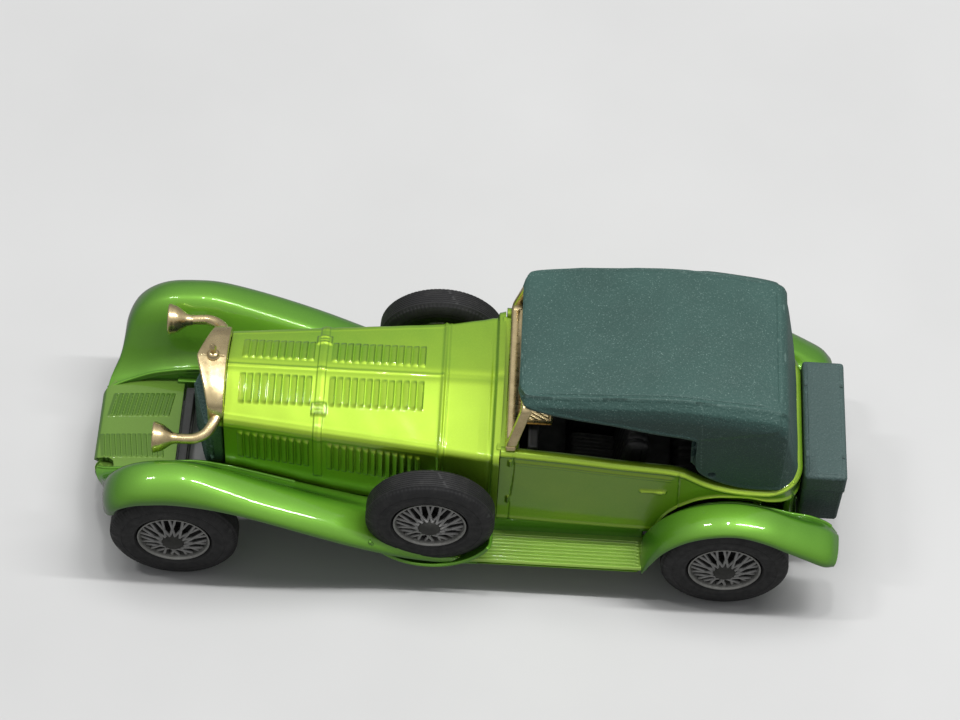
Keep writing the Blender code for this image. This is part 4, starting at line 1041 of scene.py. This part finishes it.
def build_trunk():
    """Box, lid with a raised panel, two straps with buckles over the lid's rear edge, and corner plates."""
    half, strap_y, strap_half, strap_foot_z = 9.88, 6.0, 0.55, BODY_BASE_Z + 0.3
    lower = [(46.1, BODY_BASE_Z), (51.5, BODY_BASE_Z), (51.65, 17.9), (46.0, 17.9)]
    pieces = [prism("trunk_box", lower, 1, -half + 0.1, half - 0.1, TRUNK_SHADED_GREEN, 0.45),
              block("trunk_lid", (45.97, -half, 17.7), (51.78, half, 21.0), TRUNK_SHADED_GREEN, 0.5),
              block("trunk_lid_panel", (46.5, -9.3, 20.5), (51.2, 9.3, 21.08), TRUNK_SHADED_GREEN, 0.2)]
    strap = [(46.2, 21.06), (51.0, 21.07), (51.5, 20.95), (51.68, 20.4), (51.68, 18.2), (51.52, 17.6),
             (51.45, 16.2), (51.3, strap_foot_z)]
    outside = [tuple(p) for p in spline(strap, np.linspace(0, len(strap) - 1, 60))]
    inside = [(50.9, strap_foot_z), (50.9, 20.3), (46.2, 20.3)]
    for k, y in enumerate((-strap_y, strap_y)):
        low, high = y - strap_half, y + strap_half
        pieces.append(prism(f"trunk_strap_{k}", outside + inside, 1, low, high, TRUNK_SHADED_GREEN, 0.04))
        near, far = (51.3, low - 0.2, 18.8), (51.8, high + 0.2, 19.9)
        pieces.append(block(f"trunk_buckle_{k}", near, far, TRUNK_SHADED_GREEN, 0.15))
    for k, y in enumerate((-9.3, 9.3)):
        near, far = (50.2, y - 0.5, 17.55), (51.75, y + 0.5, 18.3)
        pieces.append(block(f"trunk_corner_{k}", near, far, TRUNK_SHADED_GREEN, 0.2))
    replace_all(pieces, "luggage_trunk")


def seat_surface(name, path, low, high, pleats, depth):
    """A cushion: a profile path in x and z pushed across the car, with pleats and rounded ends."""
    path = spline(path, np.linspace(0, len(path) - 1, 70))
    ys = np.linspace(low, high, 120)
    tangent = unit(np.gradient(path, axis=0))
    out = np.stack((-tangent[:, 1], tangent[:, 0]), axis=1)
    u = (ys - low) / (high - low)
    puff = depth * np.abs(np.sin(u * pleats * np.pi)) ** 0.6
    ends = -0.6 * (1 - np.clip(np.minimum(u, 1 - u) / 0.06, 0, 1)) ** 2
    offset = (puff + ends)[None, :, None]
    points = np.zeros((len(path), len(ys), 3))
    flat = path[:, None, :] + out[:, None, :] * offset
    points[..., 0], points[..., 1], points[..., 2] = flat[..., 0], ys[None, :], flat[..., 1]
    return grid_obj(name, points, BLACK, smooth_deg=60)


def build_interior():
    """Tub floor, footboard and dashboard with dials, two front seats and a bench, all one black moulding."""
    pieces = [block("interior_floor", (7.4, -10.6, BODY_BASE_Z), (39.0, 10.6, 11.8), BLACK),
              block("dashboard", (8.2, -10.3, 18.5), (9.6, 10.3, 25.1), BLACK, 0.3),
              block("footboard", (7.5, -10.2, 11.5), (8.6, 10.2, 19.0), BLACK, 0.2)]
    back = [(20.0, 12.0), (20.3, 15.0), (20.9, 20.0), (21.6, 25.0), (22.3, 25.9), (23.2, 26.0),
            (24.0, 25.5), (24.2, 24.4), (23.8, 19.0), (23.2, 12.0)]
    back_core = [(20.6, 12.0), (21.2, 20.0), (22.0, 25.0), (23.4, 25.3), (23.6, 24.0), (22.9, 12.0)]
    cushion = [(14.0, 12.0), (13.9, 14.5), (14.3, 15.9), (15.2, 16.3), (18.0, 16.1), (20.6, 15.7)]
    bench = [(28.6, 12.0), (28.5, 15.6), (28.9, 16.5), (30.0, 16.8), (33.5, 16.6), (35.2, 17.2),
             (35.8, 20.0), (36.5, 24.8), (37.2, 25.7), (38.2, 25.7), (38.7, 24.8), (38.7, 12.0)]
    bench_core = [(29.0, 12.0), (29.0, 16.2), (35.4, 16.8), (37.0, 25.0), (38.3, 25.0), (38.3, 12.0)]
    for name, low, high in (("left", -9.9, -1.0), ("right", 1.0, 9.9)):
        pieces.append(seat_surface(f"seat_back_{name}", back, low, high, 7, 0.3))
        pieces.append(seat_surface(f"seat_cushion_{name}", cushion, low, high, 7, 0.3))
        pieces.append(prism(f"seat_core_{name}", back_core, 1, low + 0.3, high - 0.3, BLACK, 0.2))
        near, far = (14.5, low + 0.3, 11.5), (20.4, high - 0.3, 15.7)
        pieces.append(block(f"seat_base_{name}", near, far, BLACK, 0.2))
    pieces.append(seat_surface("rear_bench", bench, -10.4, 10.4, 14, 0.3))
    pieces.append(prism("bench_core", bench_core, 1, -10.2, 10.2, BLACK, 0.2))
    for k, (y, r) in enumerate(((5.4, 1.2), (2.6, 0.8), (-2.6, 0.8), (-5.4, 1.2))):
        dial = [(0.01, 0.62), (r - 0.2, 0.62), (r - 0.12, 0.75), (r, 0.75), (r + 0.1, 0.6), (r + 0.1, 0.3)]
        pieces.append(lathe(f"dial_{k}", dial, (9.0, y, 22.6), 0, 1, BLACK, 40))
    replace_all(pieces, "interior")


def build_steering_wheel():
    """A finger-gripped rim, four spokes, a boss and the column, on the car's right-hand side."""
    rim_r, grips = 3.3, 32
    centre, foot = np.array((14.6, 5.4, 23.6)), np.array((10.15, 5.4, 20.9))
    along = (centre - foot) / np.linalg.norm(centre - foot)
    across = np.array((0.0, 1.0, 0.0))
    above = np.cross(across, along)
    b = np.linspace(0, 2 * np.pi, 14, endpoint=False)
    rings = []
    for a in np.linspace(0, 2 * np.pi, 96, endpoint=False):
        out = across * math.cos(a) + above * math.sin(a)
        grip = 0.33 + 0.03 * math.cos(a * grips)
        outwards, forwards = rim_r + grip * np.cos(b), grip * np.sin(b)
        rings.append(centre + out * outwards[:, None] + along * forwards[:, None])
    pieces = [grid_obj("steering_rim", np.array(rings), BLACK, wrap_rows=True, wrap_cols=True)]
    for k, a in enumerate(np.radians((45, 135, 225, 315))):
        out = across * math.cos(a) + above * math.sin(a)
        spoke = [centre, centre + out * 1.6 - along * 0.15, centre + out * 3.2]
        pieces.append(tube(f"steering_spoke_{k}", spoke, (0.3, 0.24, 0.2), BLACK, 10))
    column = [foot, (foot + centre) / 2, centre - along * 0.2]
    pieces.append(tube("steering_column", column, (0.45, 0.42, 0.38), BLACK, 16))
    boss = [centre - along * 0.3, centre, centre + along * 0.3, centre + along * 0.42]
    pieces.append(tube("steering_boss", boss, (0.7, 0.75, 0.6, 0.3), BLACK, 24))
    replace_all(pieces, "steering_wheel")


def build_underside():
    """Base plate with panel, ribs, bars, the cheeks and bar at the front axle, and the two rivets."""
    outline = [(-34.0, -7.0), (-30.0, -8.2), (-8.0, -10.4), (24.0, -10.4), (32.0, -7.6), (49.0, -7.6),
               (49.0, 7.6), (32.0, 7.6), (24.0, 10.4), (-8.0, 10.4), (-30.0, 8.2), (-34.0, 7.0)]
    inner = [(x * 0.985 + 0.1, y * 0.93) for x, y in outline]
    pieces = [prism("base_sheet", outline, 2, BASE_Z + 0.25, BASE_Z + 1.0, BLACK, 0.2)]
    pieces.append(prism("base_panel", inner, 2, BASE_Z + 0.12, BASE_Z + 0.5, BLACK, 0.12))
    for k, y in enumerate((-4.2, 4.2)):
        near, far = (-17.5, y - 0.45, BASE_Z), (37.0, y + 0.45, BASE_Z + 0.4)
        pieces.append(block(f"base_rib_{k}", near, far, BLACK, 0.15))
    for k, x in enumerate((-14.0, 6.0, 26.0)):
        near, far = (x - 0.4, -6.8, BASE_Z), (x + 0.4, 6.8, BASE_Z + 0.4)
        pieces.append(block(f"base_bar_{k}", near, far, BLACK, 0.15))
    cheek = [(-38.2, BASE_Z), (-33.5, BASE_Z), (-33.5, 9.5), (-36.3, 9.5), (-36.3, 10.6), (-39.5, 10.6),
             (-39.5, 9.95), (-38.2, 9.6)]
    for name, side in SIDES:
        low, high = sorted((side * 6.0, side * 6.9))
        pieces.append(prism(f"axle_cheek_{name}", cheek, 1, low, high, BLACK, 0.12))
    pieces.append(block("axle_bar", (-39.98, -6.9, 9.97), (-38.82, 6.9, 10.58), BLACK, 0.15))
    socket = [(1.05, 2.9), (1.05, 0.65), (1.75, 0.6), (1.95, 0.45), (2.0, 0.02), (2.6, 0.02),
              (2.75, 0.2), (2.75, 3.2)]
    for k, x in enumerate(RIVET_X):
        pieces.append(lathe(f"base_boss_{k}", socket, (x, 0, BASE_Z), 2, 1, BLACK, 48))
    replace_all(pieces, "base_plate")
    rivet = [(0.01, 0.32), (0.35, 0.3), (0.5, 0.14), (0.9, 0.1), (1.35, 0.14), (1.62, 0.26), (1.7, 0.42),
             (1.66, 0.55), (0.85, 0.58), (0.85, 9.3), (0.5, 9.6), (0.01, 9.65)]
    for name, x in zip(("front", "rear"), RIVET_X):
        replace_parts(lathe(f"rivet_{name}_turned", rivet, (x, 0, BASE_Z), 2, 1, STEEL, 48), f"rivet_{name}")


# ---------------------------------------------------------------- wheels

# Profiles as (radius, depth inwards from the tyre's outer face)
SIDEWALL = ((4.9, 0.9), (5.15, 0.45), (5.4, 0.12), (5.6, 0.06), (5.75, 0.10), (5.9, 0.06), (6.5, 0.02),
            (7.0, 0.04), (7.1, 0.09), (7.2, 0.04), (7.6, 0.12), (8.0, 0.27), (8.3, 0.46), (8.45, 0.56),
            (8.5, 0.66), (8.62, 0.78))
SERRATIONS = 90
SPOKE_PAIRS, SPOKE_TWIST_DEG = 14, 19.3
SPOKE_HUB_R, SPOKE_RIM_R = 1.5, 4.5


def tyre_profile():
    """Outer sidewall, tread with fine grooves, inner sidewall."""
    half = TYRE_WIDTH / 2
    side = [(r, half - depth) for r, depth in SIDEWALL]
    tread = []
    for k, h in enumerate(np.linspace(half - 0.9, -half + 0.9, 31)):
        tread.append((TYRE_R - 0.10 * (h / half) ** 2 - (0.07 if k % 4 == 2 else 0.0), h))
    return side + tread + [(r, -h) for r, h in reversed(side)]


def serrate(axis_centre, axis):
    """Presses small radial notches into the tyre's shoulders."""
    def change(points):
        others = [i for i in range(3) if i != axis]
        middle = np.array(axis_centre, float)[others]
        flat = points[..., others] - middle
        radius = np.linalg.norm(flat, axis=2)
        angle = np.arctan2(flat[..., 1], flat[..., 0])
        notch = 0.07 * (np.cos(angle * SERRATIONS) > 0.2) * ((radius > 8.25) & (radius < 8.69))
        points = points.copy()
        points[..., others] = middle + flat * (1 - notch / np.maximum(radius, 1))[..., None]
        return points
    return change


def spoke_mesh(centre, side):
    """One layer of crossing spokes from the hub down to the rim, as thin round bars in one mesh."""
    half = TYRE_WIDTH / 2
    verts, faces, sides = [], [], 8
    for k in range(SPOKE_PAIRS):
        for turn in (-1, 1):
            a0 = 2 * math.pi * k / SPOKE_PAIRS
            a1 = a0 + math.radians(SPOKE_TWIST_DEG * turn)
            lift = 0.05 * turn
            hub_y, rim_y = side * (half + 0.05 + lift), side * (half - 0.95 + lift)
            start = np.array((SPOKE_HUB_R * math.cos(a0), hub_y, SPOKE_HUB_R * math.sin(a0)))
            end = np.array((SPOKE_RIM_R * math.cos(a1), rim_y, SPOKE_RIM_R * math.sin(a1)))
            along = (end - start) / np.linalg.norm(end - start)
            across = np.cross(along, (0, 1, 0))
            across /= np.linalg.norm(across)
            above = np.cross(across, along)
            faces += grid_faces(3, sides, wrap_cols=True, start=len(verts))
            for point, radius in ((start, 0.2), (start * 0.3 + end * 0.7, 0.2), (end, 0.23)):
                for b in np.linspace(0, 2 * np.pi, sides, endpoint=False):
                    out = math.cos(b) * across + math.sin(b) * above
                    verts.append(point + radius * out + np.array(centre))
    return verts, faces


def build_wheel(prefix, x, y, z, side, body):
    """A tyre, and a rim made of flange, a web painted dark as the shadow behind the spokes, hub and spokes.
    """
    half = TYRE_WIDTH / 2
    centre = (x, side * y, z)
    tyre = lathe(f"{prefix}_tread", tyre_profile(), centre, 1, side, TYRE, 360, body, serrate(centre, 1), 35)
    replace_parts(tyre, f"{prefix}_tyre")
    flange = [(4.46, half - 1.3), (4.5, half - 1.0), (4.56, half - 0.7), (4.64, half - 0.45),
              (4.72, half - 0.28), (4.84, half - 0.2), (4.96, half - 0.24), (RIM_FLANGE_R, half - 0.36),
              (4.96, half - 0.46), (4.65, half - 0.6), (4.6, -half + 0.6), (4.5, -half + 0.5),
              (4.15, -half + 0.5), (4.05, -half + 0.7), (4.3, half - 1.9), (4.46, half - 1.3)]
    hub = [(0.01, half + 0.72), (0.4, half + 0.71), (0.75, half + 0.66), (1.05, half + 0.56),
           (1.3, half + 0.4), (1.5, half + 0.2), (1.62, half - 0.02), (1.66, half - 0.25),
           (1.62, half - 0.5), (1.66, half - 0.8), (1.66, half - 1.25), (1.5, half - 1.4),
           (1.5, -half + 0.4), (0.9, -half + 0.4), (0.9, 1.2)]
    web = [(1.55, half - 1.5), (2.6, half - 1.55), (4.4, half - 1.35), (4.4, half - 2.0), (1.55, half - 2.0)]
    verts, faces = spoke_mesh(centre, side)
    pieces = [lathe(f"{prefix}_flange", flange, centre, 1, side, RIM_WALL, 120, body, smooth_deg=50),
              lathe(f"{prefix}_hub", hub, centre, 1, side, HUB, 48, body, smooth_deg=35),
              # The web's near-black grey is painted shadow behind the spokes; the web itself is part of the
              # silvered rim.
              lathe(f"{prefix}_web", web, centre, 1, side, RIM_SHADOW, 64, body),
              obj_from(f"{prefix}_spokes", verts, faces, SILVER_PAINTED_SHINE, body)]
    replace_all(pieces, f"{prefix}_rim")


def build_axle(label, x):
    """A steel rod with chamfered ends that stops inside the hubs."""
    reach = WHEEL_Y + 1.05
    profile = [(0.01, -reach), (0.65, -reach), (0.8, -reach + 0.15), (0.8, -6.0), (0.78, 0.0), (0.8, 6.0),
               (0.8, reach - 0.15), (0.65, reach), (0.01, reach)]
    rod = lathe(f"{label}_rod", profile, (x, 0, TYRE_R), 1, 1, STEEL, 48, f"{label}_wheelset")
    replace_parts(rod, f"{label}_axle")


# ---------------------------------------------------------------- stage

CAMERA_AT = (0.775, -241.82, 354.56)
CAMERA_ANGLES = (53.30, -0.095, 3.24)  # elevation, heading, roll
CAMERA_LENS = 112.56


def area_light(name, location, target, size, power, glossy):
    """A rectangular light, aimed at target or straight down; without glossy the car doesn't mirror it."""
    light = bpy.data.lights.new(name, "AREA")
    light.shape = "RECTANGLE"
    light.size, light.size_y = size
    light.energy = power
    obj = bpy.data.objects.new(name, light)
    obj.location = location
    if target:
        obj.rotation_euler = (Vector(target) - Vector(location)).to_track_quat("-Z", "Y").to_euler()
    obj.visible_glossy = glossy
    bpy.context.scene.collection.objects.link(obj)
    return obj


def studio_world():
    """Even grey light for matt surfaces; mirrored rays see a soft sky that is brighter overhead."""
    world = bpy.data.worlds.new("studio")
    world.use_nodes = True
    tree = world.node_tree
    plain = tree.nodes["Background"]
    plain.inputs["Color"].default_value = (0.95, 0.97, 1.0, 1)
    plain.inputs["Strength"].default_value = 0.19
    sky = tree.nodes.new("ShaderNodeBackground")
    where = tree.nodes.new("ShaderNodeTexCoord")
    split = tree.nodes.new("ShaderNodeSeparateXYZ")
    ramp = tree.nodes.new("ShaderNodeValToRGB")
    ramp.color_ramp.elements[0].color = (0.25, 0.25, 0.25, 1)
    ramp.color_ramp.elements[1].color = (0.72, 0.72, 0.70, 1)
    ramp.color_ramp.elements[0].position = 0.1
    tree.links.new(where.outputs["Generated"], split.inputs["Vector"])
    tree.links.new(split.outputs["Z"], ramp.inputs["Fac"])
    tree.links.new(ramp.outputs["Color"], sky.inputs["Color"])
    path = tree.nodes.new("ShaderNodeLightPath")
    mix = tree.nodes.new("ShaderNodeMixShader")
    tree.links.new(path.outputs["Is Glossy Ray"], mix.inputs["Fac"])
    tree.links.new(plain.outputs["Background"], mix.inputs[1])
    tree.links.new(sky.outputs["Background"], mix.inputs[2])
    tree.links.new(mix.outputs["Shader"], tree.nodes["World Output"].inputs["Surface"])
    bpy.context.scene.world = world


def build_floor_plane():
    """Plain pale floor; it reflects less light back at the car than the camera sees."""
    n = Nodes("pale_floor")
    tone = n.ramp(n.noise(0.02, 4.0), (0.3, (0.60, 0.60, 0.595)), (0.7, (0.64, 0.64, 0.635)))
    seen = n.add("ShaderNodeLightPath").outputs["Is Camera Ray"]
    tone = n.mix(seen, (0.26, 0.26, 0.255), tone)
    floor_mat = n.set(Base_Color=tone, Roughness=0.75, Normal=n.bump(n.noise(0.8, 3.0), 0.02, 0.3))
    half = 3000.0
    corners = [(-half, -half, 0), (half, -half, 0), (half, half, 0), (-half, half, 0)]
    obj_from("floor", corners, [(0, 1, 2, 3)], floor_mat, None)


def build_stage():
    """Floor, world, one large soft light, the narrow ones that draw the highlights, and the camera."""
    build_floor_plane()
    studio_world()
    area_light("overhead", (0.02, 0.10, 0.88), (0, 0, 0.02), (0.6, 0.35), 4.1, False)
    area_light("tube_rear", (0.42, 0.0, 0.8), None, (0.55, 0.022), 3.6, True)
    area_light("tube_front", (-0.42, 0.0, 0.8), None, (0.16, 0.022), 1.1, True)
    area_light("spot_middle", (0.0, 0.01, 0.8), None, (0.035, 0.05), 0.6, True)
    camera = bpy.data.cameras.new("camera")
    camera.sensor_width = 36.0
    camera.lens = CAMERA_LENS
    camera.clip_start = 0.01
    obj = bpy.data.objects.new("camera", camera)
    elevation, heading, roll = CAMERA_ANGLES
    turn = Matrix.Rotation(math.radians(heading), 4, "Z")
    turn = turn @ Matrix.Rotation(math.radians(90 - elevation), 4, "X")
    turn = turn @ Matrix.Rotation(math.radians(roll), 4, "Z")
    obj.matrix_world = Matrix.Translation(Vector(CAMERA_AT) * MM) @ turn
    bpy.context.scene.collection.objects.link(obj)
    bpy.context.scene.camera = obj
    bpy.context.scene.view_settings.view_transform = "Standard"


build_hood()
build_tub()
build_body_inside()
for side_name, side in SIDES:
    build_fender(f"front_{side_name}", FRONT_FENDER, 170, side)
    build_fender(f"rear_{side_name}", REAR_FENDER, 130, side)
    build_spare_well(side, side_name)
    build_wheel(f"front_{side_name}", FRONT_AXLE_X, WHEEL_Y, TYRE_R, side, "front_wheelset")
    build_wheel(f"rear_{side_name}", REAR_AXLE_X, WHEEL_Y, TYRE_R, side, "rear_wheelset")
    build_wheel(f"spare_{side_name}", SPARE_X, SPARE_Y, SPARE_Z, side, "car")
build_apron()
build_boards()
build_floor()
build_radiator()
build_core()
build_lamps()
build_windscreen()
build_soft_top()
build_trunk()
build_interior()
build_steering_wheel()
build_underside()
build_axle("front", FRONT_AXLE_X)
build_axle("rear", REAR_AXLE_X)
build_stage()
